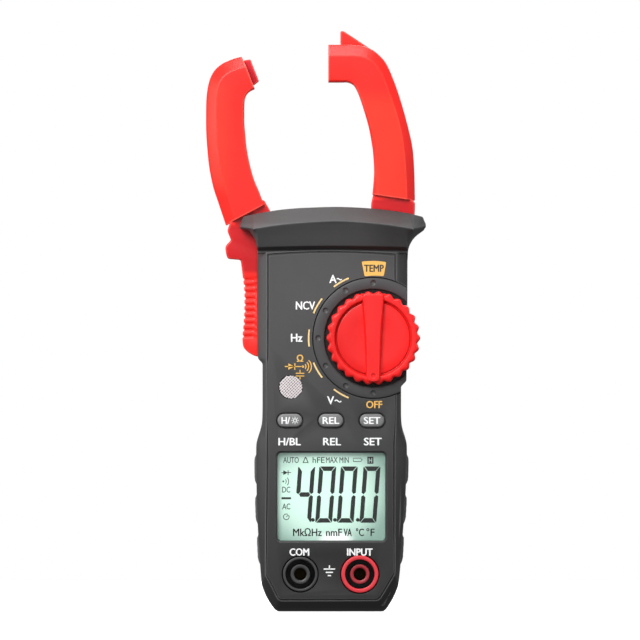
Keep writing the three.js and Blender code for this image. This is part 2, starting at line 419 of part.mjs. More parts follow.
add('selector_knob', knob(), RED, 0.45);
let dialRing = meet(rod(...DIAL, DIAL_R - 0.3, -14.2, -13.6, 44), prism(DIAL_SIDE(0.1), -20, 0));
dialRing = cut(dialRing, rod(...DIAL, WELL_R + 0.05, -16, -12, 36),
  ...[0, 30, 60, 90, 120, 150, 180].map((d) => rod(DIAL[0] - 18.35 * Math.sin((d * Math.PI) / 180), DIAL[1] + 18.35 * Math.cos((d * Math.PI) / 180), 0.75, -16, -13.9, 8)));
add('dial_ring', dialRing, 0x3a3a3c, 0.6);
// contact carrier with its rim of detent teeth, and the wiper under it
add('rotary_contact_disc', cut(prism(Array.from({ length: 48 }, (_, k) => {
  const a = (2 * Math.PI * k) / 48, r = 8.2 + (k % 4 < 2 ? 0.3 : -0.3);
  return [DIAL[0] + r * Math.cos(a), DIAL[1] + r * Math.sin(a)];
}), -11.6, -10.4), rod(...DIAL, 2.0, -12, -10, 12)), 0xe8e4da, 0.6);
add('wiper_contact', join(rod(...DIAL, 2.6, -10.1, -9.85, 16), ...[90, 210, 330].map((d) => {
  const a = (d * Math.PI) / 180, u = [Math.cos(a), Math.sin(a)], v = [-u[1], u[0]], p = (s, w) => [DIAL[0] + s * u[0] + w * v[0], DIAL[1] + s * u[1] + w * v[1]];
  return prism([p(1.5, -1.1), p(7.2, -0.7), p(7.2, 0.7), p(1.5, 1.1)], -10.1, -9.85);
})), BRASS, 0.35, 0.9);
add('detent_spring', prism([[4.0, 88.2], [4.5, 88.2], [5.0, 91.2], [4.5, 94.2], [4.0, 94.2], [4.5, 91.2]], -11.6, -10.2), STEEL, 0.35, 0.9);

// ---------------------------------------------------------------- buttons
for (const [k, name] of [[0, 'button_left'], [1, 'button_mid'], [2, 'button_right']]) {
  const x = BUTTON_X[k], lv = (w, h, y) => pill(x, BUTTON_Z, w, h).map(([a, b]) => [a, y, b]);
  add(name, join(loft([lv(8.2, 4.4, -11.5), lv(8.2, 4.4, -14.5), lv(7.9, 4.1, -14.85), lv(7.1, 3.3, -15.0)]), prism(pill(x, BUTTON_Z, 9.8, 6.0), -11.6, -11.2)), 0x77777a, 0.6);
}
add('keypad', join(block(-18.6, 18.6, -10.1, -9.8, 59.6, 67.8), ...BUTTON_X.map((x) => rod(x, BUTTON_Z, 2.0, -10.3, -9.9, 14))), 0x2f3033, 0.9);

// ---------------------------------------------------------------- display
add('lcd_lens', prism(roundRect(WINDOW.x0 + 0.3, WINDOW.x1 - 0.3, WINDOW.z0 + 0.3, WINDOW.z1 - 0.3, 1.1), -13.5, -12.7), 0xd8efe8, 0.08);
add('lcd_glass', block(-19.4, 19.3, -11.7, -10.9, 21.8, 54.9), PALE, 0.3);
add('backlight_panel', block(-18.6, 18.6, -10.6, -9.95, 22.6, 51.4), 0xf2f4ee, 0.4);
add('zebra_connector', block(-17.0, 17.0, -10.6, -9.9, 52.0, 54.4), 0x9a4a52, 0.8);
add('lcd_frame', cut(block(-20.8, 20.7, -11.7, -9.95, 20.5, 56.3), block(-19.7, 19.6, -13, -9, 21.5, 55.2)), 0xd9d9d4, 0.6);

// ---------------------------------------------------------------- input sockets
for (const [name, { x, r }, color] of [['com', JACKS.com, 0x39393b], ['input', JACKS.input, 0xdb4650]]) {
  // outer ring, deep annular well, inner tube with a 4 mm hole and a seat for the sleeve
  add(`${name}_jack_shroud`, turned([
    [3.25, -13.9], [3.25, 1.5], [4.9, 1.5], [4.9, -14.4], [r - 0.25, -14.4], [r, -14.2], [r, -11.4], [5.75, -11.2], [5.75, 3.2], [1.4, 3.2], [1.4, 1.5],
    [2.55, 1.5], [2.55, -10.5], [2.05, -10.9], [2.05, -13.6], [2.35, -13.9], [3.25, -13.9]], x, JACK_Z, 16), color, 0.5);
  add(`${name}_jack_sleeve`, turned([[2.0, -10.2], [2.25, -10.2], [2.25, 1.2], [1.15, 1.2], [1.15, 5.6], [0, 5.6], [0, 0.6], [2.0, 0.6], [2.0, -10.2]], x, JACK_Z, 12), BRASS, 0.3, 0.95);
}

// ---------------------------------------------------------------- sensor grille and electronics
add('sensor_grille', cut(rod(...GRILLE, 3.85, -14.1, -12.6, 20), ...[-2.2, -0.75, 0.75, 2.2].map((d) => {
  const c = Math.SQRT1_2, L = Math.sqrt(3.1 * 3.1 - d * d), p = (s, w) => [GRILLE[0] + s * c - (d + w) * c, GRILLE[1] + s * c + (d + w) * c];
  return prism([p(-L, -0.28), p(L, -0.28), p(L, 0.28), p(-L, 0.28)], -15, -13.4);
})), 0xd8cfd2, 0.7);
let pcb = prism([[-17.0, 20.6], [17.0, 20.6], [17.0, 69], [15.4, 76], [15.4, 83.8], [21.6, 85.6], [21.6, 105.6], [-5, 105.6], [-11, 100], [-20.0, 96], [-20.0, 86], [-15.4, 83.8], [-15.4, 76], [-17.0, 70]], -9.6, -8.0);
add('main_pcb', pcb, 0x1f6b3a, 0.6);
add('buzzer', cut(rod(...GRILLE, 5.0, -11.6, -9.9, 24), rod(...GRILLE, 0.8, -12, -10.8, 10)), 0x1c1c1e, 0.6);
add('thermistor', turned([[0, -7.7], [3.6, -7.7], [4.0, -7.3], [4.0, -5.6], [3.6, -5.2], [0, -5.2]], 0, 70, 20), 0xd98b2b, 0.7);
add('ncv_sensor_plate', block(-4.6, -1.8, -0.6, 0.2, 123.4, 131), BRASS, 0.35, 0.9);

// ---------------------------------------------------------------- batteries and their contacts
for (const [name, s, up] of [['battery_left', -1, true], ['battery_right', 1, false]]) {
  const z0 = CELL_Z0, z1 = CELL_Z0 + CELL_L, nub = 1.0;
  const p = up ? [[0, z0], [CELL_R - 0.4, z0], [CELL_R, z0 + 0.5], [CELL_R, z1 - nub - 0.5], [CELL_R - 0.5, z1 - nub], [1.8, z1 - nub], [1.8, z1], [0, z1]]
    : [[0, z0], [1.8, z0], [1.8, z0 + nub], [CELL_R - 0.5, z0 + nub], [CELL_R, z0 + nub + 0.5], [CELL_R, z1 - 0.5], [CELL_R - 0.4, z1], [0, z1]];
  add(name, turnedZ(p, s * CELL_X, CELL_Y, 20), 0x3d5f9e, 0.4, 0.3);
}
add('battery_bridge_contact', block(-11.0, 11.0, 2.4, 10.4, 73.7, 74.3), STEEL, 0.3, 0.9);
add('battery_contact_positive', block(2.4, 10.2, 2.4, 10.4, 26.9, 27.5), STEEL, 0.3, 0.9);
add('battery_spring_negative', wire((t) => {
  const a = 2 * Math.PI * 2.2 * t, r = 3.4 - 1.3 * t;
  return [-CELL_X + r * Math.cos(a), CELL_Y + r * Math.sin(a), 27.1 + 1.2 * t];
}, 0.24, 34, 5), STEEL, 0.3, 0.9);

root.name = 'clamp_meter';
export default root;
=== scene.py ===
import bpy, bmesh, math
from mathutils import Vector, Matrix


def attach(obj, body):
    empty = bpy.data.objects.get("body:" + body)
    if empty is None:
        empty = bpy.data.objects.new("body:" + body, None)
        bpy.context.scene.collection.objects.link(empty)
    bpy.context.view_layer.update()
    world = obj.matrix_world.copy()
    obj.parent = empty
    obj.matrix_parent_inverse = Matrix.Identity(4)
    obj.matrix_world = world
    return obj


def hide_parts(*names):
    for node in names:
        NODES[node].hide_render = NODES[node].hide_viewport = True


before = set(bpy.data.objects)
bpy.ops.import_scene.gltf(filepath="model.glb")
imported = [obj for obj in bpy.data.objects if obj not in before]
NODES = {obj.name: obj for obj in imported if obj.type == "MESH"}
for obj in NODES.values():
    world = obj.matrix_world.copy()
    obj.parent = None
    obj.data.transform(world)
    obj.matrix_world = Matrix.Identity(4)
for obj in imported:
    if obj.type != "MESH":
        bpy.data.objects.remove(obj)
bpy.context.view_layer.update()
MM = 0.001
scene = bpy.context.scene
scene.view_settings.view_transform = "Standard"
scene.view_settings.look = "None"

# ------------------------------------------------------------------ dimensions, in millimetres, in the part's frame
PIVOT = (-7.1, 114.4)
DIAL = (13.93, 91.17)
JACKS = {"com": (-10.4, 5.8), "input": (9.45, 6.2)}
JACK_Z = 12.5
BUTTON_X = (-13.9, -0.2, 13.5)
BUTTON_Z = 63.7
WIN = (-18.0, 17.9, 23.7, 52.9, 1.3)
GRILLE = (-13.55, 74.8)
SCREWS = {"lower_left": (-17.3, 7.0), "lower_right": (17.3, 7.0), "upper_left": (-18.4, 80.7), "upper_right": (18.4, 80.7), "top": (1.6, 124.6)}
DOOR_SCREW = (0.0, 22.4)
SLOT_Y, LEVER_Y, JAW_Y, SEAM = 7.6, 7.2, 8.8, 0.15
PART_F, PART_R = -3.0, -2.7

# ------------------------------------------------------------------ mesh helpers
COL = scene.collection


def obj_from(name, verts, faces, scale=MM):
    me = bpy.data.meshes.new(name)
    me.from_pydata([(v[0] * scale, v[1] * scale, v[2] * scale) for v in verts], [], faces)
    me.validate()
    bm = bmesh.new()
    bm.from_mesh(me)
    bmesh.ops.remove_doubles(bm, verts=bm.verts, dist=1e-7)
    bmesh.ops.recalc_face_normals(bm, faces=bm.faces)
    bm.to_mesh(me)
    bm.free()
    o = bpy.data.objects.new(name, me)
    COL.objects.link(o)
    return o


def loft(rings, caps=(True, True), name="tmp"):
    """Closed surface through rings of equal length."""
    n = len(rings[0])
    verts = [p for r in rings for p in r]
    faces = []
    for k in range(len(rings) - 1):
        for i in range(n):
            j = (i + 1) % n
            faces.append((k * n + i, k * n + j, (k + 1) * n + j, (k + 1) * n + i))
    if caps[0]:
        faces.append(tuple(range(n - 1, -1, -1)))
    if caps[1]:
        faces.append(tuple((len(rings) - 1) * n + i for i in range(n)))
    return obj_from(name, verts, faces)


def prism(poly, y0, y1, name="tmp"):
    return loft([[(x, y0, z) for x, z in poly], [(x, y1, z) for x, z in poly]], name=name)


def circle(x, z, r, n=96):
    return [(x + r * math.cos(2 * math.pi * k / n), z + r * math.sin(2 * math.pi * k / n)) for k in range(n)]


def rod(x, z, r, y0, y1, n=96):
    return prism(circle(x, z, r, n), y0, y1)


def block(x0, x1, y0, y1, z0, z1):
    return prism([(x0, z0), (x1, z0), (x1, z1), (x0, z1)], y0, y1)


def pill(x, z, w, h, n=16):
    r, out = h / 2, []
    c = w / 2 - r
    for k in range(n + 1):
        a = -math.pi / 2 + math.pi * k / n
        out.append((x + c + r * math.cos(a), z + r * math.sin(a)))
    for k in range(n + 1):
        a = math.pi / 2 + math.pi * k / n
        out.append((x - c + r * math.cos(a), z + r * math.sin(a)))
    return out


def round_rect(x0, x1, z0, z1, r, n=10):
    out = []
    for cx, cz, a0 in ((x1 - r, z0 + r, -90), (x1 - r, z1 - r, 0), (x0 + r, z1 - r, 90), (x0 + r, z0 + r, 180)):
        for k in range(n + 1):
            a = math.radians(a0 + 90 * k / n)
            out.append((cx + r * math.cos(a), cz + r * math.sin(a)))
    return out


def soften(pts, radius, seg=4, closed=True, smooth_below=25.0, keep=None):
    """Rounds the corners of a polyline of any dimension. Gentle corners are rounded over the whole of their two sides."""
    n, out = len(pts), []

    def sub(a, b): return [x - y for x, y in zip(a, b)]
    def ln(a): return math.sqrt(sum(x * x for x in a)) or 1e-9
    for i in range(n):
        p = pts[i]
        if not closed and i in (0, n - 1):
            out.append(tuple(p))
            continue
        a, b = pts[(i - 1) % n], pts[(i + 1) % n]
        va, vb = sub(a, p), sub(b, p)
        la, lb = ln(va), ln(vb)
        cosv = max(-1, min(1, -sum(x * y for x, y in zip(va, vb)) / la / lb))
        turn = math.degrees(math.acos(cosv))
        r = radius(i) if callable(radius) else radius
        if turn < smooth_below and (keep is None or i not in keep):
            r = 1e9
        da, db = min(r, la * 0.498), min(r, lb * 0.498)
        A = [x + y * da / la for x, y in zip(p, va)]
        B = [x + y * db / lb for x, y in zip(p, vb)]
        for k in range(seg + 1):
            t = k / seg
            out.append(tuple((1 - t) ** 2 * x + 2 * t * (1 - t) * y + t * t * z for x, y, z in zip(A, p, B)))
    return out


def resample(rows, n):
    """Catmull-Rom through rows of numbers, n samples between each two."""
    out = []
    m = len(rows)
    for i in range(m - 1):
        p0, p1, p2, p3 = rows[max(0, i - 1)], rows[i], rows[i + 1], rows[min(m - 1, i + 2)]
        for k in range(n):
            t = k / n
            out.append([0.5 * (2 * b + (c - a) * t + (2 * a - 5 * b + 4 * c - d) * t * t + (3 * b - a - 3 * c + d) * t ** 3) for a, b, c, d in zip(p0, p1, p2, p3)])
    out.append(list(rows[-1]))
    return out


def turned(profile, x, z, n=72, name="tmp"):
    """Profile of (radius, y) turned about the line through x, z along Y. It closes on itself or ends on the axis."""
    verts, faces, rows = [], [], []
    closed = profile[0][0] > 1e-6
    prof = profile[:-1] if closed and profile[0] == profile[-1] else profile
    for r, y in prof:
        if r < 1e-6:
            rows.append([len(verts)] * n)
            verts.append((x, y, z))
        else:
            rows.append(list(range(len(verts), len(verts) + n)))
            verts += [(x + r * math.cos(2 * math.pi * k / n), y, z + r * math.sin(2 * math.pi * k / n)) for k in range(n)]
    pairs = list(zip(rows, rows[1:])) + ([(rows[-1], rows[0])] if closed else [])
    for a, b in pairs:
        for k in range(n):
            j = (k + 1) % n
            f = [a[k], a[j], b[j], b[k]]
            f = [v for i, v in enumerate(f) if v not in f[:i]]
            if len(f) > 2:
                faces.append(tuple(f))
    return obj_from(name, verts, faces)


def closed_ok(me):
    bm = bmesh.new()
    bm.from_mesh(me)
    ok = len(bm.faces) > 3 and all(e.is_manifold for e in bm.edges)
    vol = bm.calc_volume(signed=True) * 1e9 if ok else 0.0
    bm.free()
    return ok, vol


def csg(base, op, tools):
    """base joined with, cut by or met with each tool; the tools are used up."""
    for t in tools:
        for o in (base, t):
            ok, vol = closed_ok(o.data)
            if ok and vol < 0:
                o.data.flip_normals()
            if not ok:
                print("OPEN INPUT", op, o.name, len(o.data.vertices))
        v0 = closed_ok(base.data)[1]
        best = None
        for solver in ("MANIFOLD", "EXACT"):
            m = base.modifiers.new("b", "BOOLEAN")
            m.operation = op
            m.solver = solver
            m.object = t
            dg = bpy.context.evaluated_depsgraph_get()
            new = bpy.data.meshes.new_from_object(base.evaluated_get(dg))
            base.modifiers.clear()
            ok, v1 = closed_ok(new)
            fine = ok and ((op == "UNION" and v1 >= v0 - 0.5) or (op != "UNION" and 0 < v1 <= v0 + 0.5))
            if best is None or fine:
                if best is not None:
                    bpy.data.meshes.remove(best)
                best = new
            else:
                bpy.data.meshes.remove(new)
            if fine:
                break
        if not fine:
            print("BOOLEAN", op, base.name, "with", t.name, "closed", ok, "volume", v0, "->", v1)
        old = base.data
        base.data = best
        bpy.data.meshes.remove(old)
        tm = t.data
        bpy.data.objects.remove(t)
        bpy.data.meshes.remove(tm)
    return base


def fused(objs):
    """Several tools that don't touch each other, as one object, so that one boolean does them all."""
    bm = bmesh.new()
    for o in objs:
        bm.from_mesh(o.data)
    me = bpy.data.meshes.new("tools")
    bm.to_mesh(me)
    bm.free()
    for o in objs:
        m = o.data
        bpy.data.objects.remove(o)
        bpy.data.meshes.remove(m)
    o = bpy.data.objects.new("tools", me)
    COL.objects.link(o)
    return o


def tidy(o, name, mat, body, nodes=(), angle=32.0, slot=None, clean=True):
    """Names a finished piece, shades it, gives it its material and ties it to its body."""
    me = o.data
    if clean:
        bm = bmesh.new()
        bm.from_mesh(me)
        bmesh.ops.remove_doubles(bm, verts=bm.verts, dist=2e-6)
        bmesh.ops.dissolve_degenerate(bm, edges=bm.edges, dist=1e-6)
        bmesh.ops.recalc_face_normals(bm, faces=bm.faces)
        bm.to_mesh(me)
        bm.free()
    o.name = name
    me.name = name
    me.materials.clear()
    me.materials.append(mat)
    for p in me.polygons:
        p.use_smooth = True
    me.set_sharp_from_angle(angle=math.radians(angle))
    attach(o, body)
    if nodes:
        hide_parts(*nodes)
    return o


def edges_rounded(o, width=0.18, segments=2, angle=38):
    m = o.modifiers.new("edge", "BEVEL")
    m.width = width * MM
    m.segments = segments
    m.limit_method = "ANGLE"
    m.angle_limit = math.radians(angle)
    m.harden_normals = True
    m.miter_outer = "MITER_ARC"
    return o


# ------------------------------------------------------------------ materials
def nodes_of(name):
    m = bpy.data.materials.new(name)
    m.use_nodes = True
    nt = m.node_tree
    b = nt.nodes["Principled BSDF"]
    return m, nt, b


def N(nt, kind, **kw):
    n = nt.nodes.new(kind)
    for k, v in kw.items():
        setattr(n, k, v)
    return n


def painted_crevice_shade(nt, col, dark, dist=1.3, samples=6):
    """Painted shade: darker in grooves and corners, where shadow falls."""
    ao = N(nt, "ShaderNodeAmbientOcclusion", samples=samples)
    ao.inputs["Distance"].default_value = dist * MM
    mr = N(nt, "ShaderNodeMapRange")
    mr.inputs["From Min"].default_value, mr.inputs["From Max"].default_value = 0.15, 0.85
    mr.inputs["To Min"].default_value, mr.inputs["To Max"].default_value = dark, 1.0
    nt.links.new(ao.outputs["AO"], mr.inputs["Value"])
    mul = N(nt, "ShaderNodeMix", data_type="RGBA", blend_type="MULTIPLY")
    mul.inputs["Factor"].default_value = 1.0
    nt.links.new(col, mul.inputs["A"])
    nt.links.new(mr.outputs["Result"], mul.inputs["B"])
    return mul.outputs["Result"]


def painted_edge_highlight(nt, col, highlight_col, amount, dist=0.5, hi=0.80, lo=0.45, samples=6):
    """Painted highlight: convex edges are made paler, found from how thin the solid is just inside the surface."""
    ao = N(nt, "ShaderNodeAmbientOcclusion", samples=samples, inside=True, only_local=True)
    ao.inputs["Distance"].default_value = dist * MM
    mr = N(nt, "ShaderNodeMapRange")
    mr.inputs["From Min"].default_value, mr.inputs["From Max"].default_value = hi, lo
    mr.inputs["To Min"].default_value, mr.inputs["To Max"].default_value = 0.0, amount
    nt.links.new(ao.outputs["AO"], mr.inputs["Value"])
    mx = N(nt, "ShaderNodeMix", data_type="RGBA", blend_type="MIX")
    nt.links.new(mr.outputs["Result"], mx.inputs["Factor"])
    nt.links.new(col, mx.inputs["A"])
    mx.inputs["B"].default_value = (*highlight_col, 1)
    return mx.outputs["Result"]


def zone(nt, tc, boxes, col):
    """Painted light and shade: multiplies col by k inside soft-edged boxes in the part's frame: each is (x0, x1, |y|0,
    |y|1, z0, z1, soft, k) in mm.
    """
    sep = N(nt, "ShaderNodeSeparateXYZ")
    nt.links.new(tc.outputs["Object"], sep.inputs["Vector"])
    ay = N(nt, "ShaderNodeMath", operation="ABSOLUTE")
    nt.links.new(sep.outputs["Y"], ay.inputs[0])
    for x0, x1, y0, y1, z0, z1, soft, k in boxes:
        fac = None
        for src, a, b, sf in ((sep.outputs["X"], x0, x1, soft), (ay.outputs[0], y0, y1, 0.15), (sep.outputs["Z"], z0, z1, soft)):
            for edge, sign in ((a, 1), (b, -1)):
                if abs(edge) > 500:
                    continue
                mr = N(nt, "ShaderNodeMapRange", interpolation_type="SMOOTHSTEP")
                mr.inputs["From Min"].default_value = (edge - sf * sign) * MM
                mr.inputs["From Max"].default_value = (edge + sf * sign) * MM
                nt.links.new(src, mr.inputs["Value"])
                if fac is None:
                    fac = mr.outputs["Result"]
                else:
                    m = N(nt, "ShaderNodeMath", operation="MULTIPLY")
                    nt.links.new(fac, m.inputs[0])
                    nt.links.new(mr.outputs["Result"], m.inputs[1])
                    fac = m.outputs[0]
        mx = N(nt, "ShaderNodeMix", data_type="RGBA", blend_type="MULTIPLY")
        nt.links.new(fac, mx.inputs["Factor"])
        nt.links.new(col, mx.inputs["A"])
        mx.inputs["B"].default_value = (*(k if isinstance(k, tuple) else (k, k, k)), 1)
        col = mx.outputs["Result"]
    return col


def moulded(name, dark, light, rough=(0.42, 0.5), grain=5200.0, bump=0.06, spec=0.5, swirl=60.0, painted_light_ramps=(), coat=0.0, ao=None, edge=None, zones=()):
    """Moulded plastic: fine spark-eroded grain, faint flow variation in colour, slightly uneven gloss; where asked,
    painted light and shade on top: ramps, boxes, crevice shade and edge highlights.
    """
    m, nt, b = nodes_of(name)
    tc = N(nt, "ShaderNodeTexCoord")
    flow = N(nt, "ShaderNodeTexNoise")
    flow.inputs["Scale"].default_value = swirl
    flow.inputs["Detail"].default_value = 4.0
    flow.inputs["Roughness"].default_value = 0.6
    nt.links.new(tc.outputs["Object"], flow.inputs["Vector"])
    ramp = N(nt, "ShaderNodeValToRGB")
    ramp.color_ramp.elements[0].position, ramp.color_ramp.elements[1].position = 0.3, 0.7
    ramp.color_ramp.elements[0].color = (*dark, 1)
    ramp.color_ramp.elements[1].color = (*light, 1)
    nt.links.new(flow.outputs["Fac"], ramp.inputs["Fac"])
    col = ramp.outputs["Color"]
    # painted light and shade: the colour is multiplied along straight ramps across the part
    if painted_light_ramps:
        sep = N(nt, "ShaderNodeSeparateXYZ")
        nt.links.new(tc.outputs["Object"], sep.inputs["Vector"])
        for (kx, kz), lo, hi, t0, t1 in painted_light_ramps:        # each: direction in x, z; from, to; factors
            mr = N(nt, "ShaderNodeMapRange", interpolation_type="SMOOTHSTEP")
            mr.inputs["From Min"].default_value, mr.inputs["From Max"].default_value = lo, hi
            mr.inputs["To Min"].default_value, mr.inputs["To Max"].default_value = t0, t1
            m0 = N(nt, "ShaderNodeMath", operation="MULTIPLY")
            nt.links.new(sep.outputs["Z"], m0.inputs[0])
            m0.inputs[1].default_value = kz
            add = N(nt, "ShaderNodeMath", operation="MULTIPLY_ADD")
            nt.links.new(sep.outputs["X"], add.inputs[0])
            add.inputs[1].default_value = kx
            nt.links.new(m0.outputs[0], add.inputs[2])
            nt.links.new(add.outputs[0], mr.inputs["Value"])
            mul = N(nt, "ShaderNodeMix", data_type="RGBA", blend_type="MULTIPLY")
            mul.inputs["Factor"].default_value = 1.0
            nt.links.new(col, mul.inputs["A"])
            nt.links.new(mr.outputs["Result"], mul.inputs["B"])
            col = mul.outputs["Result"]
    if zones:
        col = zone(nt, tc, zones, col)
    if ao:
        col = painted_crevice_shade(nt, col, *ao)
    if edge:
        col = painted_edge_highlight(nt, col, *edge)
    nt.links.new(col, b.inputs["Base Color"])
    gl = N(nt, "ShaderNodeTexNoise")
    gl.inputs["Scale"].default_value = swirl * 3.1
    gl.inputs["Detail"].default_value = 3.0
    nt.links.new(tc.outputs["Object"], gl.inputs["Vector"])
    rr = N(nt, "ShaderNodeMapRange")
    rr.inputs["To Min"].default_value, rr.inputs["To Max"].default_value = rough
    nt.links.new(gl.outputs["Fac"], rr.inputs["Value"])
    nt.links.new(rr.outputs["Result"], b.inputs["Roughness"])
    gr = N(nt, "ShaderNodeTexNoise")
    gr.inputs["Scale"].default_value = grain
    gr.inputs["Detail"].default_value = 2.0
    nt.links.new(tc.outputs["Object"], gr.inputs["Vector"])
    bp = N(nt, "ShaderNodeBump")
    bp.inputs["Strength"].default_value = bump
    bp.inputs["Distance"].default_value = 0.0002
    nt.links.new(gr.outputs["Fac"], bp.inputs["Height"])
    nt.links.new(bp.outputs["Normal"], b.inputs["Normal"])
    b.inputs["Specular IOR Level"].default_value = spec
    b.inputs["Coat Weight"].default_value = coat
    b.inputs["Coat Roughness"].default_value = 0.25
    return m


def metal(name, col, rough=(0.25, 0.4), grain=900.0, stretch=(1, 1, 1), bump=0.05):
    m, nt, b = nodes_of(name)
    tc = N(nt, "ShaderNodeTexCoord")
    mp = N(nt, "ShaderNodeMapping")
    mp.inputs["Scale"].default_value = stretch
    nt.links.new(tc.outputs["Object"], mp.inputs["Vector"])
    n = N(nt, "ShaderNodeTexNoise")
    n.inputs["Scale"].default_value = grain
    n.inputs["Detail"].default_value = 5.0
    nt.links.new(mp.outputs["Vector"], n.inputs["Vector"])
    ramp = N(nt, "ShaderNodeValToRGB")
    ramp.color_ramp.elements[0].color = (*[c * 0.78 for c in col], 1)
    ramp.color_ramp.elements[1].color = (*[min(1, c * 1.12) for c in col], 1)
    nt.links.new(n.outputs["Fac"], ramp.inputs["Fac"])
    nt.links.new(ramp.outputs["Color"], b.inputs["Base Color"])
    rr = N(nt, "ShaderNodeMapRange")
    rr.inputs["To Min"].default_value, rr.inputs["To Max"].default_value = rough
    nt.links.new(n.outputs["Fac"], rr.inputs["Value"])
    nt.links.new(rr.outputs["Result"], b.inputs["Roughness"])
    bp = N(nt, "ShaderNodeBump")
    bp.inputs["Strength"].default_value = bump
    bp.inputs["Distance"].default_value = 0.0002
    nt.links.new(n.outputs["Fac"], bp.inputs["Height"])
    nt.links.new(bp.outputs["Normal"], b.inputs["Normal"])
    b.inputs["Metallic"].default_value = 1.0
    return m


BIG = 999.0
# painted shade: the lever runs darker where it goes under the guard, and so does the nose that enters the other jaw and
# the fixed jaw's root; painted light: paler, more orange boxes over the moving jaw's outer side and the fixed jaw's
# front face; also painted crevice shade and edge highlights
RED = moulded("red_plastic", (0.87, 0.012, 0.008), (0.94, 0.016, 0.010), rough=(0.36, 0.45), grain=3600, bump=0.05, spec=0.3, ao=(0.5, 1.4), edge=((1.0, 0.12, 0.09), 0.62, 0.55, 0.975, 0.86),
              zones=((-60.0, -20.0, -9.0, 7.45, 113.0, 128.8, 1.0, (0.58, 0.15, 0.7)), (-32.0, -20.0, -9.0, 7.45, 128.8, 130.8, 0.5, (0.58, 0.15, 0.7)),
                     (-28.0, -20.0, -9.0, 7.45, 130.8, 133.2, 0.5, (0.58, 0.15, 0.7)), (-25.0, -20.0, -9.0, 7.45, 133.2, 135.2, 0.5, (0.58, 0.15, 0.7)),
                     (10.0, 30.0, -9.0, 7.45, 105.0, 137.3, 0.5, (0.60, 0.2, 0.75)), (-30.0, -20.0, -9.0, 4.9, 174.0, BIG, 0.25, (0.52, 0.12, 1.5)),
                     (-60.0, -34.5, 5.5, 9.2, 140.0, 176.0, 3.0, (1.0, 1.7, 1.25)), (4.0, 26.5, 8.4, 9.2, 120.0, 172.0, 4.0, (1.0, 2.1, 1.35))))
# painted light and shade: darker to the left, lighter to the right, with painted crevice shade and edge highlights
RED_KNOB = moulded("red_knob_plastic", (0.82, 0.009, 0.009), (0.90, 0.012, 0.012), rough=(0.32, 0.4), grain=4200, bump=0.035, spec=0.3, ao=(0.45, 1.3), edge=((1.0, 0.11, 0.09), 0.5, 0.4, 0.95, 0.7),
                   painted_light_ramps=(((1.0, 0.0), 0.000, 0.028, 0.80, 1.04),))
# painted shade: darker towards the bottom and the right; boxes darken the guard's top, the case's right side and the
# guard's right end, and a thin band under the cove above the panel is painted shadow; also painted crevice shade and
# edge highlights
CASE = moulded("case_plastic", (0.050, 0.050, 0.051), (0.058, 0.058, 0.059), rough=(0.50, 0.60), grain=4300, bump=0.16, spec=0.5, swirl=45,
               painted_light_ramps=(((-0.4, 1.0), -0.005, 0.115, 0.11, 0.90),), ao=(0.12, 1.0), edge=((0.13, 0.13, 0.132), 0.7, 0.4, 0.86, 0.5),
               zones=((-40.0, 40.0, 9.3, 19.0, 129.3, 140.0, 0.7, 0.66), (22.2, 60.0, -BIG, 14.5, 55.0, 126.0, 1.0, 0.62), (14.0, 60.0, 9.3, 19.0, 119.0, 145.0, 7.0, 0.58), (-26.0, 26.0, 13.3, 15.35, 120.15, 121.9, 0.25, 0.2)))
# painted crevice shade and painted edge highlights
CASE_BACK = moulded("case_plastic_rear", (0.046, 0.046, 0.047), (0.054, 0.054, 0.055), rough=(0.52, 0.62), grain=4300, bump=0.2, spec=0.5, swirl=45, ao=(0.15, 1.0), edge=((0.11, 0.11, 0.112), 0.6, 0.4))
# painted crevice shade and painted edge highlights
DIALP = moulded("dial_plastic", (0.039, 0.039, 0.041), (0.0445, 0.0445, 0.0465), rough=(0.42, 0.5), grain=5200, bump=0.08, ao=(0.15, 0.9), edge=((0.12, 0.12, 0.122), 0.5, 0.3))
# painted crevice shade
GRIP = moulded("grip_rubber", (0.070, 0.070, 0.071), (0.088, 0.088, 0.089), rough=(0.62, 0.75), grain=2600, bump=0.25, spec=0.35, ao=(0.25, 0.7))
# painted highlight on the keys' convex edges
KEY = moulded("key_rubber", (0.150, 0.150, 0.152), (0.175, 0.175, 0.177), rough=(0.5, 0.6), grain=3800, bump=0.12, spec=0.4, edge=((0.42, 0.42, 0.42), 0.8, 0.5))
BLACK = moulded("black_plastic", (0.008, 0.008, 0.008), (0.012, 0.012, 0.012), rough=(0.5, 0.62), grain=4000, bump=0.1, spec=0.3)
BLACK_RUBBER = moulded("black_rubber", (0.018, 0.018, 0.018), (0.026, 0.026, 0.026), rough=(0.7, 0.82), grain=2400, bump=0.2, spec=0.3)
# sockets: everything below the rim lies in deep shade
# the boxes paint that shade in: near black below the rim and a darker band on the input socket's rim; both also get
# painted crevice shade, and COM painted highlights on its convex edges
COMP = moulded("com_plastic", (0.028, 0.028, 0.029), (0.034, 0.034, 0.035), rough=(0.4, 0.5), grain=5000, bump=0.08, ao=(0.25, 0.8), edge=((0.075, 0.075, 0.077), 0.7, 0.35), zones=((-BIG, BIG, -9.0, 12.9, -BIG, BIG, 0.3, 0.06),))
INP = moulded("input_plastic", (0.56, 0.022, 0.032), (0.64, 0.028, 0.040), rough=(0.38, 0.46), grain=5000, bump=0.06, ao=(0.35, 0.8), zones=((-BIG, BIG, -9.0, 12.9, -BIG, BIG, 0.3, 0.045), (JACKS["input"][0] - 3.7, JACKS["input"][0] + 3.7, 13.0, 13.98, JACK_Z - 3.7, JACK_Z + 3.7, 0.15, (0.42, 0.4, 0.5))))
NYLON = moulded("switch_nylon", (0.68, 0.66, 0.61), (0.78, 0.76, 0.71), rough=(0.45, 0.55), grain=3800, bump=0.08)
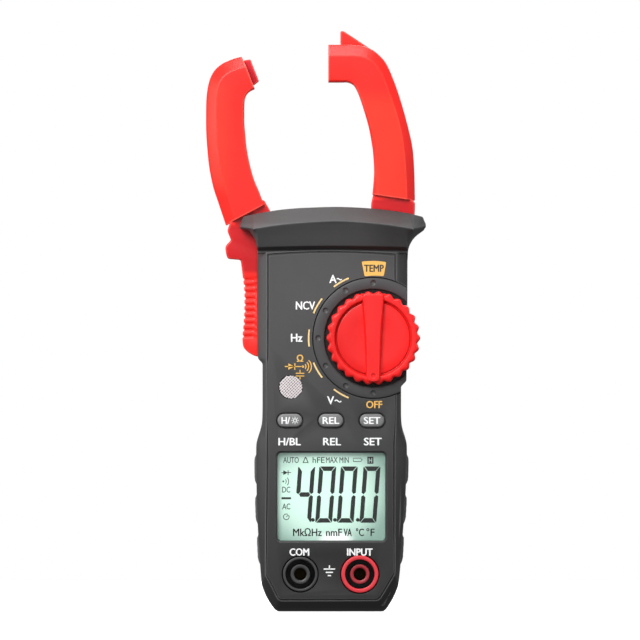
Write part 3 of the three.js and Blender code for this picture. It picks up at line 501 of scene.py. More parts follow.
CERAMIC = moulded("ceramic", (0.70, 0.30, 0.05), (0.82, 0.38, 0.08), rough=(0.3, 0.45), grain=1500, bump=0.1)
STEEL = metal("screw_steel", (0.62, 0.63, 0.65), rough=(0.22, 0.38), grain=1500)
BRASS = metal("brass", (0.80, 0.58, 0.24), rough=(0.2, 0.34), grain=1200)
# near-black brass for the contact deep in the socket: some tarnish, and painted shade of the socket's depth
BRASS_DEEP = metal("brass_tarnish_and_shade", (0.030, 0.021, 0.010), rough=(0.4, 0.55), grain=1200)
IRON = metal("core_iron", (0.36, 0.37, 0.39), rough=(0.4, 0.55), grain=700, stretch=(0.4, 12, 0.4), bump=0.2)
COPPER = metal("copper_winding", (0.72, 0.30, 0.13), rough=(0.25, 0.4), grain=1800, stretch=(0.6, 0.6, 4), bump=0.35)


def ink(name, col, rough=0.5):
    """Pad-printed ink: a thin matt film with slight unevenness."""
    m, nt, b = nodes_of(name)
    tc = N(nt, "ShaderNodeTexCoord")
    n = N(nt, "ShaderNodeTexNoise")
    n.inputs["Scale"].default_value = 2400
    n.inputs["Detail"].default_value = 3
    nt.links.new(tc.outputs["Object"], n.inputs["Vector"])
    ramp = N(nt, "ShaderNodeValToRGB")
    ramp.color_ramp.elements[0].color = (*[c * 0.86 for c in col], 1)
    ramp.color_ramp.elements[1].color = (*col, 1)
    nt.links.new(n.outputs["Fac"], ramp.inputs["Fac"])
    nt.links.new(ramp.outputs["Color"], b.inputs["Base Color"])
    b.inputs["Roughness"].default_value = rough
    bp = N(nt, "ShaderNodeBump")
    bp.inputs["Strength"].default_value = 0.05
    bp.inputs["Distance"].default_value = 0.0001
    nt.links.new(n.outputs["Fac"], bp.inputs["Height"])
    nt.links.new(bp.outputs["Normal"], b.inputs["Normal"])
    return m


WHITE = ink("white_ink", (0.86, 0.87, 0.87))
YELLOW = ink("yellow_ink", (0.82, 0.47, 0.10))
PALE_YELLOW = ink("pale_yellow_ink", (0.86, 0.62, 0.26))
DARK_INK = ink("dark_ink", (0.05, 0.035, 0.02))
GRILLE_MAT = moulded("grille_plastic", (0.62, 0.56, 0.57), (0.74, 0.69, 0.70), rough=(0.45, 0.6), grain=2500, bump=0.15)


def lcd_material():
    m, nt, b = nodes_of("lcd_background")
    tc = N(nt, "ShaderNodeTexCoord")
    sep = N(nt, "ShaderNodeSeparateXYZ")
    nt.links.new(tc.outputs["Object"], sep.inputs["Vector"])
    # painted glare: a whitish round spot low in the middle, also fed to the emission; the ground is paler in the middle
    # and greener and darker towards the corners
    def dist(x0, z0, ax, az):
        out = []
        for src, c, k in ((sep.outputs["X"], x0, ax), (sep.outputs["Z"], z0, az)):
            d = N(nt, "ShaderNodeMath", operation="SUBTRACT")
            nt.links.new(src, d.inputs[0])
            d.inputs[1].default_value = c * MM
            e = N(nt, "ShaderNodeMath", operation="DIVIDE")
            nt.links.new(d.outputs[0], e.inputs[0])
            e.inputs[1].default_value = k * MM
            f = N(nt, "ShaderNodeMath", operation="MULTIPLY")
            nt.links.new(e.outputs[0], f.inputs[0])
            nt.links.new(e.outputs[0], f.inputs[1])
            out.append(f.outputs[0])
        g = N(nt, "ShaderNodeMath", operation="ADD")
        nt.links.new(out[0], g.inputs[0])
        nt.links.new(out[1], g.inputs[1])
        return g.outputs[0]
    mx = N(nt, "ShaderNodeMapRange", interpolation_type="SMOOTHSTEP")
    mx.inputs["From Min"].default_value, mx.inputs["From Max"].default_value = 0.2, 1.9
    nt.links.new(dist(-2.5, 39.5, 17.5, 15.0), mx.inputs["Value"])
    ramp = N(nt, "ShaderNodeValToRGB")
    ramp.color_ramp.elements[0].color = (0.56, 0.80, 0.69, 1)
    ramp.color_ramp.elements[1].color = (0.19, 0.325, 0.265, 1)
    nt.links.new(mx.outputs["Result"], ramp.inputs["Fac"])
    painted_glare = N(nt, "ShaderNodeMapRange", interpolation_type="SMOOTHSTEP")
    painted_glare.inputs["From Min"].default_value, painted_glare.inputs["From Max"].default_value = 0.0, 1.6
    painted_glare.inputs["To Min"].default_value, painted_glare.inputs["To Max"].default_value = 0.85, 0.0
    nt.links.new(dist(1.5, 24.0, 5.5, 2.8), painted_glare.inputs["Value"])
    white = N(nt, "ShaderNodeMix", data_type="RGBA")
    nt.links.new(painted_glare.outputs["Result"], white.inputs["Factor"])
    nt.links.new(ramp.outputs["Color"], white.inputs["A"])
    white.inputs["B"].default_value = (0.95, 0.97, 0.96, 1)
    n = N(nt, "ShaderNodeTexNoise")
    n.inputs["Scale"].default_value = 42
    n.inputs["Detail"].default_value = 2
    nt.links.new(tc.outputs["Object"], n.inputs["Vector"])
    mul = N(nt, "ShaderNodeMix", data_type="RGBA", blend_type="MULTIPLY")
    mr = N(nt, "ShaderNodeMapRange")
    mr.inputs["To Min"].default_value, mr.inputs["To Max"].default_value = 0.92, 1.05
    nt.links.new(n.outputs["Fac"], mr.inputs["Value"])
    mul.inputs["Factor"].default_value = 1.0
    nt.links.new(white.outputs["Result"], mul.inputs["A"])
    nt.links.new(mr.outputs["Result"], mul.inputs["B"])
    nt.links.new(mul.outputs["Result"], b.inputs["Base Color"])
    nt.links.new(mul.outputs["Result"], b.inputs["Emission Color"])
    b.inputs["Emission Strength"].default_value = 0.20
    b.inputs["Roughness"].default_value = 0.35
    fine = N(nt, "ShaderNodeTexNoise")
    fine.inputs["Scale"].default_value = 6000
    nt.links.new(tc.outputs["Object"], fine.inputs["Vector"])
    bp = N(nt, "ShaderNodeBump")
    bp.inputs["Strength"].default_value = 0.04
    bp.inputs["Distance"].default_value = 0.0001
    nt.links.new(fine.outputs["Fac"], bp.inputs["Height"])
    nt.links.new(bp.outputs["Normal"], b.inputs["Normal"])
    return m


def lens_material():
    """Clear acrylic with a faint even haze."""
    m, nt, b = nodes_of("clear_window")
    tc = N(nt, "ShaderNodeTexCoord")
    n = N(nt, "ShaderNodeTexNoise")
    n.inputs["Scale"].default_value = 90
    nt.links.new(tc.outputs["Object"], n.inputs["Vector"])
    mul = N(nt, "ShaderNodeMath", operation="MULTIPLY_ADD")
    nt.links.new(n.outputs["Fac"], mul.inputs[0])
    mul.inputs[1].default_value = 0.004
    mul.inputs[2].default_value = 0.02
    nt.links.new(mul.outputs[0], b.inputs["Alpha"])
    b.inputs["Base Color"].default_value = (0.86, 0.95, 0.92, 1)
    b.inputs["Roughness"].default_value = 0.12
    b.inputs["Specular IOR Level"].default_value = 0.35
    return m


def segment_material(name, col):
    m, nt, b = nodes_of(name)
    tc = N(nt, "ShaderNodeTexCoord")
    n = N(nt, "ShaderNodeTexNoise")
    n.inputs["Scale"].default_value = 1500
    nt.links.new(tc.outputs["Object"], n.inputs["Vector"])
    ramp = N(nt, "ShaderNodeValToRGB")
    ramp.color_ramp.elements[0].color = (*[c * 0.8 for c in col], 1)
    ramp.color_ramp.elements[1].color = (*col, 1)
    nt.links.new(n.outputs["Fac"], ramp.inputs["Fac"])
    nt.links.new(ramp.outputs["Color"], b.inputs["Base Color"])
    b.inputs["Roughness"].default_value = 0.7
    b.inputs["Specular IOR Level"].default_value = 0.02
    return m


LCD = lcd_material()
LENS = lens_material()
SEG = segment_material("lcd_segment", (0.0012, 0.0018, 0.0016))
# a paler copy of the segment colour for the small marks: painted glare greying them
SEG_SOFT = segment_material("lcd_segment_glare_grey", (0.022, 0.034, 0.030))


def board_material():
    m, nt, b = nodes_of("board")
    tc = N(nt, "ShaderNodeTexCoord")
    br = N(nt, "ShaderNodeTexBrick")
    br.inputs["Scale"].default_value = 420
    br.inputs["Color1"].default_value = (0.012, 0.16, 0.05, 1)
    br.inputs["Color2"].default_value = (0.016, 0.19, 0.06, 1)
    br.inputs["Mortar"].default_value = (0.03, 0.28, 0.10, 1)
    br.inputs["Mortar Size"].default_value = 0.03
    nt.links.new(tc.outputs["Object"], br.inputs["Vector"])
    nt.links.new(br.outputs["Color"], b.inputs["Base Color"])
    b.inputs["Roughness"].default_value = 0.35
    bp = N(nt, "ShaderNodeBump")
    bp.inputs["Strength"].default_value = 0.15
    bp.inputs["Distance"].default_value = 0.0002
    nt.links.new(br.outputs["Fac"], bp.inputs["Height"])
    nt.links.new(bp.outputs["Normal"], b.inputs["Normal"])
    return m


def cell_material():
    """Plain two-tone cell sleeve: a dark band, a metal-coloured band and bare ends."""
    m, nt, b = nodes_of("cell_sleeve")
    tc = N(nt, "ShaderNodeTexCoord")
    sep = N(nt, "ShaderNodeSeparateXYZ")
    nt.links.new(tc.outputs["Object"], sep.inputs["Vector"])
    mr = N(nt, "ShaderNodeMapRange")
    mr.inputs["From Min"].default_value, mr.inputs["From Max"].default_value = 0.0289, 0.0725
    nt.links.new(sep.outputs["Z"], mr.inputs["Value"])
    ramp = N(nt, "ShaderNodeValToRGB")
    ramp.color_ramp.interpolation = "CONSTANT"
    e = ramp.color_ramp.elements
    e[0].position, e[0].color = 0.0, (0.6, 0.6, 0.6, 1)
    e[1].position, e[1].color = 0.03, (0.03, 0.06, 0.22, 1)
    x = e.new(0.70); x.color = (0.55, 0.36, 0.12, 1)
    x = e.new(0.97); x.color = (0.6, 0.6, 0.6, 1)
    nt.links.new(mr.outputs["Result"], ramp.inputs["Fac"])
    nt.links.new(ramp.outputs["Color"], b.inputs["Base Color"])
    n = N(nt, "ShaderNodeTexNoise")
    n.inputs["Scale"].default_value = 400
    nt.links.new(tc.outputs["Object"], n.inputs["Vector"])
    rr = N(nt, "ShaderNodeMapRange")
    rr.inputs["To Min"].default_value, rr.inputs["To Max"].default_value = 0.22, 0.36
    nt.links.new(n.outputs["Fac"], rr.inputs["Value"])
    nt.links.new(rr.outputs["Result"], b.inputs["Roughness"])
    b.inputs["Metallic"].default_value = 0.6
    return m


BOARD = board_material()
CELL = cell_material()

# ------------------------------------------------------------------ handle shells
LEFT = [
    (-24.6, 124.0, -21.6, 119.5), (-24.8, 112, -21.6, 112), (-24.8, 100, -21.6, 100), (-24.7, 88, -21.65, 88),
    (-24.5, 84.3, -21.65, 84.3), (-23.0, 82.7, -21.65, 82.7), (-23.0, 74, -21.7, 74), (-23.0, 63.8, -21.7, 63.8),
    (-23.55, 61.0, -21.7, 60.6), (-24.9, 56.9, -21.75, 56.6), (-25.15, 55.0, -21.8, 54.6), (-25.1, 47, -21.8, 47),
    (-24.95, 38, -21.9, 38), (-24.7, 30, -22.0, 30), (-24.2, 22, -22.0, 22), (-23.75, 14.4, -22.05, 15),
    (-23.25, 8.9, -22.0, 11.9), (-22.0, 5.3, -20.4, 8.9), (-20.0, 2.0, -18.7, 5.6), (-18.85, 0.6, -17.9, 4.0),
    (-17.8, 0, -17.0, 3.4),
]
RIGHT = [
    (17.2, 0, 15.4, 3.5), (18.1, 0.6, 16.3, 4.1), (19.15, 2.0, 17.4, 5.8), (21.0, 5.2, 19.4, 9.2), (22.3, 8.6, 21.1, 12.2),
    (22.95, 14.4, 21.2, 15.2), (23.5, 22, 21.2, 22), (24.1, 30, 21.25, 30), (24.65, 38, 21.3, 38), (25.1, 47, 21.4, 47),
    (25.2, 54.4, 21.4, 54), (25.0, 56.8, 21.4, 56.4), (23.6, 61, 21.45, 60.6), (23.2, 63.8, 21.5, 63.8), (23.2, 70, 21.5, 70),
    (23.2, 75.0, 21.6, 75.0), (25.0, 76.9, 21.6, 76.8), (25.15, 88, 21.7, 88), (25.3, 100, 21.8, 100), (25.35, 112, 21.8, 112),
    (25.35, 124.0, 21.8, 119.5), (12, 124.0, 12, 120.15), (0, 124.0, 0, 120.4), (-12, 124.0, -12, 120.15),
]
EDGE = soften(LEFT + RIGHT, 0.7, seg=4, smooth_below=22)


def ring(t, y):
    return [(sx + (px - sx) * t, y, sz + (pz - sz) * t) for sx, sz, px, pz in EDGE]


GUARD = [
    (-30.4, 129.4, 128.5, 11.5, 127.5), (-29.3, 131.6, 128.3, 13.4, 127.3), (-27.6, 132.0, 128.0, 16.0, 127.0), (-26.7, 132.2, 127.85, 17.4, 125.9),
    (-26.0, 132.4, 127.7, 18.5, 124.75), (-25.3, 132.55, 127.8, 18.5, 123.5), (-24.6, 132.7, 127.9, 18.5, 119.5), (-18, 133.8, 128.9, 18.5, 119.5), (-12, 134.4, 129.5, 18.5, 119.5),
    (-6, 134.7, 129.9, 18.5, 119.5), (1.8, 134.9, 130.2, 18.5, 119.5), (10, 134.6, 129.8, 18.5, 119.5),
    (17.7, 133.9, 129.1, 18.5, 119.5), (25.2, 132.85, 128.0, 18.5, 119.5), (26.1, 132.65, 127.8, 18.5, 122.6), (27.2, 132.4, 127.6, 18.5, 124.3),
    (28.4, 132.1, 127.8, 16.5, 125.5), (30.3, 131.6, 128.2, 13.4, 126.8), (31.45, 129.2, 128.6, 11.5, 128.1),
]
BAND_Y = 9.6


def guard(sign, depth):
    rows = []
    for x, zt, zc, yc, zb in GUARD:
        f = (yc - 9.6) / 8.9
        c = 9.6 + depth * f
        lip, top = 121.9 - 0.0017 * x * x, zc - min(0.4, 0.3 * (zc - zb))
        low = max(lip, zb + 0.22 * (zc - zb))
        far = min(1.0, max(0.0, (abs(x) - 25.25) / 4.5))          # 0 along the panel, 1 at the tips
        seat = min(c - 0.05, 14.0 - 2.2 * far)
        s2 = seat + 0.3 * (c - seat)
        zl = max(zb + 0.06, low - 1.1)
        p = [(BAND_Y - 0.4, zt), (BAND_Y + 0.9 * f + 0.1, zt), (c, zc), (c, top), (c - 0.45 * (c - s2), top - 0.4 * (top - low)), (s2, low), (seat - 0.2, zl), (seat - 0.3, max(zb + 0.02, zl - 0.8)), (BAND_Y - 0.4, zb)]
        rows.append([x] + [v for q in p for v in q])
    # smooth along the arch between the ends, straight over the end facets
    fine = [rows[0], rows[1]] + resample(rows[1:5], 3)[1:] + resample(rows[4:6], 2)[1:]
    fine += resample(rows[6:14], 5)
    fine += [rows[14]] + resample(rows[15:18], 3) + [rows[18]]
    rings = []
    for r in fine:
        pts = list(zip(r[1::2], r[2::2]))
        pts = soften(pts, lambda i: {1: 0.35, 2: 0.22, 3: 0.2, 4: 9, 5: 0.35, 6: 0.3, 7: 0.1}.get(i, 0.05), seg=4, smooth_below=0)
        n_expected = len(rings[0]) if rings else None
        rings.append([(r[0], sign * y, z) for y, z in pts])
    want = max(len(r) for r in rings)
    assert all(len(r) == want for r in rings), [len(r) for r in rings]
    return loft(rings)


TOP_RAW = [
    (-24.6, 117), (-24.4, 121.3), (-25.2, 123.4), (-26.7, 125.9), (-27.6, 127.0), (-30.2, 127.5), (-30.4, 129.3),
    (-29.4, 131.6), (-24.6, 132.7), (-18, 133.8), (-12, 134.4), (-6, 134.7), (1.8, 134.9), (10, 134.6), (17.7, 133.9),
    (24.8, 132.9), (30.4, 131.6), (31.2, 129.7), (31.5, 128.5), (30.8, 127.05), (28.85, 125.7), (27.4, 124.35), (26.5, 123.0),
    (25.9, 121.7), (25.5, 120.3), (25.4, 117),
]
TOP_OUT = soften(TOP_RAW, 0.35, seg=3, smooth_below=28)
HOLLOW = [
    (-22.7, 114.5), (-22.7, 85.6), (-21.0, 84.2), (-21.0, 62.6), (-22.9, 56), (-22.8, 30), (-21.2, 15), (-20.4, 9.0), (-17.4, 2.2),
    (17.4, 2.2), (20.4, 9.0), (21.2, 15), (22.8, 30), (22.9, 56), (21.0, 62.6), (21.0, 76), (22.9, 78), (22.9, 114.5), (11.4, 117),
    (11.4, 131.6), (-8.2, 132.0), (-8.2, 117),
]
JAW_WAY = [(-40, 84.4), (-12, 84.4), (-12, 114), (-6, 114), (-6, 128.4), (-9.8, 128.4), (-9.8, 140), (-40, 140)]
ROOT_WAY = [(13.0, 117.4), (23.4, 117.4), (23.4, 125.6), (28.3, 129.8), (28.3, 140), (13.0, 140)]


def flared(poly_at, y_surface, depth=0.3, flare=0.25, out=1.5, through=3.2):
    """Tool for a hole whose mouth is eased: poly_at(grow) gives its outline. The surface is at y_surface and the tool goes in along +Y."""
    rings = [(flare + 0.001, y_surface - out), (flare, y_surface - 0.001)]
    for k in range(1, 5):
        a = math.pi / 2 * k / 4
        rings.append((flare * (1 - math.sin(a)), y_surface + depth * (1 - math.cos(a))))
    rings.append((0.0, y_surface + through))
    return loft([[(x, y, z) for x, z in poly_at(g)] for g, y in rings])


def dial_side(d):
    """The dial stops at the handle's side."""
    return [(-10, 60), (23.1 - d, 60), (23.1 - d, 74.9), (24.9 - d, 76.8), (25.05 - d, 90), (25.1 - d, 120), (-10, 120)]


def make_front():
    # panel edge: a fine groove just inside the rim, the rim itself, the sloping side, then straight back to the parting line
    prof = [(1.34, -13.95), (1.225, -13.95), (1.205, -13.55), (1.09, -13.55), (1.07, -14.0), (0.975, -14.0), (0.36, -11.6), (0.0, -9.4), (0.0, -3.25), (0.012, -3.0)]
    p = soften([(a * 3.1, b) for a, b in prof], lambda i: {1: 0.05, 2: 0.05, 3: 0.05, 4: 0.06, 5: 0.35, 6: 2.0, 7: 1.6, 8: 0.1}.get(i, 0.1), seg=4, closed=False, smooth_below=0)
    o = loft([ring(a / 3.1, b) for a, b in p], name="front")
    o = csg(o, "UNION", [prism(TOP_OUT, -BAND_Y, PART_F), guard(-1, 8.9)])
    boss = csg(turned([(0, -13.3), (20.42, -13.3), (20.6, -13.15), (20.6, -6), (0, -6)], *DIAL, n=144), "INTERSECT", [prism(dial_side(0), -20, 0)])
    o = csg(o, "UNION", [boss])
    tools = [prism(HOLLOW, -12.0, 1), prism(JAW_WAY, -SLOT_Y, 1.2), prism(ROOT_WAY, -SLOT_Y, 1.1)]
    o = csg(o, "DIFFERENCE", tools)
    dial = turned([(0, -19), (20.45, -19), (20.45, -14.0), (20.3, -13.8), (20.3, -13.3), (16.35, -13.3), (16.35, -12.9), (3.4, -12.9), (3.4, -10), (0, -10)], *DIAL, n=144)
    win = loft([[(x, y, z) for x, z in round_rect(WIN[0] - g, WIN[1] + g, WIN[2] - g, WIN[3] + g, WIN[4] + g * 0.8)]
                for g, y in ((0.75, -15.5), (0.75, -14.02), (0.62, -13.86), (0.3, -13.55), (0.06, -13.4), (0.0, -13.2), (0.0, -10.5))])
    holes = [win]
    for x, r in JACKS.values():
        holes.append(flared(lambda g, x=x, r=r: circle(x, JACK_Z, r + 0.3 + g), -13.95))
    holes.append(flared(lambda g: circle(*GRILLE, 3.95 + g, 72), -13.95))
    for x in BUTTON_X:
        holes.append(flared(lambda g, x=x: pill(x, BUTTON_Z, 8.9 + 2 * g, 5.1 + 2 * g), -13.95, depth=0.3, flare=0.25))
    o = csg(o, "DIFFERENCE", [dial, fused(holes)])
    posts = [rod(x, z, 2.45, -12.4, PART_F, 40) for x, z in SCREWS.values()] + [rod(*PIVOT, 4.2, -12.4, -SLOT_Y - 0.1, 48)]
    o = csg(o, "UNION", [fused(posts)])
    bores = [rod(x, z, 1.3, -10, 0, 32) for x, z in SCREWS.values()] + [rod(*PIVOT, 2.3, -11.4, 0, 40)]
    o = csg(o, "DIFFERENCE", [fused(bores)])
    return tidy(o, "front_shell", CASE, "housing", ["front_case"], angle=28, slot="case_plastic")


PADS = []
for side, s, rows in (("left", -1, ((25.05, 25.15), (24.65, 24.95), (23.9, 24.35))), ("right", 1, ((25.0, 25.2), (24.1, 24.65), (23.15, 23.7)))):
    for (k, z0, z1), (xa, xb) in zip((("upper", 42.5, 52.2), ("middle", 29.2, 38.8), ("lower", 15.8, 25.5)), rows):
        PADS.append((f"grip_pad_{side}_{k}", s, z0, z1, xa, xb))
DOOR = (-15.9, 15.9, 18.4, 77.4, 2.4)


def make_rear():
    prof = [(0.26, -2.99), (0.26, -2.74), (0.02, -2.7), (0.0, -2.45), (0.0, 10.4), (0.5, 13.4), (0.9, 14.6), (1.18, 15.0), (1.5, 15.0)]
    p = soften([(a * 3.1, b) for a, b in prof], lambda i: {1: 0.03, 2: 0.03, 3: 0.1, 4: 2.0, 5: 1.2, 6: 0.5, 7: 0.4}.get(i, 0.1), seg=4, closed=False, smooth_below=0)
    o = loft([ring(a / 3.1, b) for a, b in p], name="rear")
    o = csg(o, "UNION", [prism(TOP_OUT, PART_R, BAND_Y), prism(inset(TOP_RAW, 0.75), -2.99, 0), guard(1, 5.4)])
    o = csg(o, "DIFFERENCE", [prism(HOLLOW, -4, 12.2), prism(JAW_WAY, -4.1, SLOT_Y), prism(ROOT_WAY, -4.2, SLOT_Y)])
    adds = [block(-14.8, 14.8, -0.8, 13.2, 25.0, 76.4), fused([rod(*DOOR_SCREW, 2.4, 3, 13, 40)] + [rod(x, z, 2.9, PART_R, 13, 40) for x, z in SCREWS.values()]
                                                               + [rod(*PIVOT, 4.2, SLOT_Y + 0.1, 13, 48)])]
    o = csg(o, "UNION", adds)
    door = loft([[(x, y, z) for x, z in round_rect(DOOR[0] - g, DOOR[1] + g, DOOR[2] - g, DOOR[3] + g, DOOR[4] + g)] for g, y in ((0.2, 16), (0.2, 15.01), (0.06, 14.86), (0, 14.7), (0, 13.3))])
    cuts = [block(-13.4, 13.4, 0.6, 16, 26.4, 75.0), door]
    screws = [rod(*DOOR_SCREW, 1.4, 4, 16, 32)]
    for x, z in SCREWS.values():
        screws.append(turned([(0, -4), (1.35, -4), (1.35, 9.0), (2.3, 9.0), (2.3, 14.8), (2.5, 15.02), (2.5, 17), (0, 17)], x, z, n=40))
    screws.append(rod(*PIVOT, 2.3, 0, 11.8, 40))
    for _, s, z0, z1, xa, xb in PADS:
        screws.append(prism([(s * (xa - 0.85), z0 - 0.18), (s * (xa + 3), z0 - 0.18), (s * (xb + 3), z1 + 0.18), (s * (xb - 0.85), z1 + 0.18)], -1.78, 9.58))
    # finger rest: three shallow grooves across the upper back
    for k in range(5):
        z = 92 + 4.2 * k
        screws.append(loft([[(x, y, zz) for x, zz in pill(0, z, 26 + 2 * g, 1.1 + 2 * g, 10)] for g, y in ((0.35, 16), (0.35, 15.02), (0.1, 14.8), (-0.3, 14.6))]))
    o = csg(o, "DIFFERENCE", cuts + [fused(screws)])
    return tidy(o, "rear_shell", CASE_BACK, "housing", ["rear_case"], angle=28, slot="case_plastic")


def make_pads():
    for name, s, z0, z1, xa, xb in PADS:
        rings = []
        prof = soften([(-1.6, -0.55, 0.0), (-1.6, 0.1, 0.3), (-0.9, 0.62, 0.0), (0.3, 0.62, 0.0), (0.6, 0.62, 0.0), (7.4, 0.62, 0.0), (7.8, 0.62, 0.0), (8.7, 0.62, 0.0), (9.4, 0.1, 0.3), (9.4, -0.55, 0.0)], 0.3, seg=3, closed=False, smooth_below=0)
        for y, g, dz in prof:
            out = [(xa - 0.55, z0 + 0.02), (xa + g * 0.25 - 0.1, z0 + dz * 0.6), (xa + g * 0.8, z0 + dz + 1.1), (xa + (xb - xa) * 0.25 + g, z0 + (z1 - z0) * 0.25)]
            # three shallow grooves across the part that faces sideways
            zc, half = (z0 + z1) / 2, (z1 - z0) / 2 - 1.4
            for k in (-1, 0, 1):
                zz = zc + k * half * 0.62
                xm = xa + (xb - xa) * (zz - z0) / (z1 - z0)
                dip = 0.2 if 0.4 < y < 7.6 else 0.0
                for a, d in ((-0.55, 0.0), (-0.2, dip), (0.2, dip), (0.55, 0.0)):
                    out.append((xm + g - d, zz + a))
            out += [(xb + g * 0.8, z1 - dz - 1.1), (xb + g * 0.25 - 0.1, z1 - dz * 0.6), (xb - 0.55, z1 - 0.02)]
            rings.append([(s * x, y, z) for x, z in out])
        o = loft(rings)
        tidy(o, name + "_rubber", GRIP, "housing", [name], angle=40, slot="grip_rubber")


def make_door():
    rr = lambda g, y: [(x, y, z) for x, z in round_rect(DOOR[0] + 0.3 - g, DOOR[1] - 0.3 + g, DOOR[2] + 0.3 - g, DOOR[3] - 0.3 + g, DOOR[4] - 0.2)]
    o = loft([rr(0, 13.6), rr(0, 14.62), rr(-0.05, 14.84), rr(-0.18, 14.96), rr(-0.35, 15.0)])
    t = [turned([(0, 13), (1.4, 13), (1.4, 14.05), (2.7, 14.05), (2.7, 14.85), (2.9, 15.02), (2.9, 16), (0, 16)], *DOOR_SCREW, n=48)]
    for k in (-1, 0, 1, 2, 3):
        z = 66 - 2.3 * k
        t.append(loft([[(x, y, zz) for x, zz in pill(0, z, 14 + 2 * g, 0.9 + 2 * g, 10)] for g, y in ((0.3, 16), (0.3, 15.02), (0.1, 14.82), (-0.2, 14.5))]))
    # shallow arrow for the way it lifts
    t.append(prism([(-2.2, 74.0), (2.2, 74.0), (0, 71.6)], 14.75, 16))
    o = csg(o, "DIFFERENCE", [fused(t)])
    return tidy(o, "battery_cover_panel", CASE_BACK, "battery_cover", ["battery_door"], angle=28, slot="case_plastic")


def make_screws():
    def screw(x, z, head, tip, r, hr, ht):
        prof = [(0, tip), (r * 0.3, tip), (r * 0.8, tip + 0.8)]
        y = tip + 1.3
        while y < head - ht - 0.9:           # rolled thread
            prof += [(r - 0.18, y), (r + 0.03, y + 0.22), (r - 0.18, y + 0.44)]
            y += 0.5
        prof += [(r, head - ht - 0.3), (r, head - ht), (hr, head - ht), (hr, head - 0.32), (hr - 0.1, head - 0.14), (hr - 0.3, head - 0.03), (hr - 0.55, head), (0, head)]
        o = turned(prof, x, z, n=40)
        w = hr * 0.62
        cross = [(-w, -0.24), (-0.3, -0.3), (-0.24, -w), (0.24, -w), (0.3, -0.3), (w, -0.24), (w, 0.24), (0.3, 0.3), (0.24, w), (-0.24, w), (-0.3, 0.3), (-w, 0.24)]
        return csg(o, "DIFFERENCE", [loft([[(x + a * k, y, z + b * k) for a, b in cross] for k, y in ((1.0, head + 1), (1.0, head - 0.02), (0.75, head - 0.45))])])
    for name, (x, z) in SCREWS.items():
        tidy(screw(x, z, 10.3, -8.6, 0.95, 1.9, 1.0), f"case_screw_{name}_steel", STEEL, "housing", [f"case_screw_{name}"], slot="screw_steel")
    tidy(screw(*DOOR_SCREW, 14.95, 5.0, 1.0, 2.3, 0.6), "battery_cover_screw_steel", STEEL, "battery_cover", ["battery_door_screw"], slot="screw_steel")


# ------------------------------------------------------------------ jaws
FIXED = [
    ((-1.07, 189.05), (-1.07, 185.33), (-1.07, 177.07), (-1.07, 176.5)),
    ((3.83, 189.05), (3.5, 185.33), (3.17, 177.07), (3.17, 176.5)),
    ((8.5, 188.85), (7.5, 185.33), (5.67, 176.97), (5.33, 176.5)),
    ((12.75, 187.8), (11.17, 184.6), (7.33, 176.0), (7.0, 175.85)),
    ((16.05, 185.45), (14.1, 182.95), (8.5, 174.17), (7.95, 174.8)),
    ((18.62, 182.15), (16.5, 179.85), (9.8, 171.17), (9.22, 172.1)),
    ((21.6, 175.0), (19.0, 173.75), (11.5, 166.5), (10.87, 167.15)),
    ((23.85, 167.95), (21.15, 167.55), (13.2, 161.5), (12.4, 161.8)),
    ((25.82, 160.55), (23.0, 160.9), (14.5, 156.83), (13.35, 156.83)),
    ((27.08, 154.5), (24.0, 154.5), (15.15, 152.5), (13.93, 152.5)),
    ((27.65, 146.83), (24.7, 147.17), (15.5, 146.5), (14.23, 146.17)),
    ((27.85, 136.97), (25.1, 137.33), (15.5, 138.77), (13.65, 138.97)),
]
MOVING = [
    ((-30.0, 185.1), (-28.45, 181.75), (-25.8, 174.75), (-25.6, 174.3)),
    ((-33.25, 184.15), (-31.45, 180.9), (-27.2, 173.75), (-27.05, 173.6)),
    ((-36.95, 182.35), (-34.7, 179.5), (-28.35, 172.5), (-28.2, 172.6)),
    ((-39.4, 179.9), (-36.8, 177.5), (-29.1, 170.7), (-28.9, 171.0)),
    ((-40.9, 176.45), (-37.95, 175.0), (-29.35, 168.5), (-29.1, 168.67)),
    ((-41.7, 171.5), (-38.5, 170.83), (-29.4, 166.0), (-29.1, 166.17)),
    ((-41.85, 165.5), (-38.55, 165.17), (-29.35, 163.17), (-29.1, 163.17)),
    ((-41.8, 159.83), (-38.35, 159.5), (-29.1, 159.17), (-28.8, 159.33)),
    ((-41.4, 153.83), (-37.95, 153.67), (-28.5, 154.5), (-28.3, 154.67)),
    ((-40.75, 147.83), (-37.05, 148.0), (-27.5, 149.83), (-27.35, 149.5)),
    ((-39.45, 141.5), (-35.6, 141.5), (-25.85, 144.17), (-25.7, 143.5)),
    ((-37.6, 135.83), (-33.85, 136.0), (-23.8, 139.33), (-23.8, 138.83)),
    ((-35.2, 128.63), (-32.1, 130.5), (-23.2, 135.17), (-22.3, 135.67)),
]


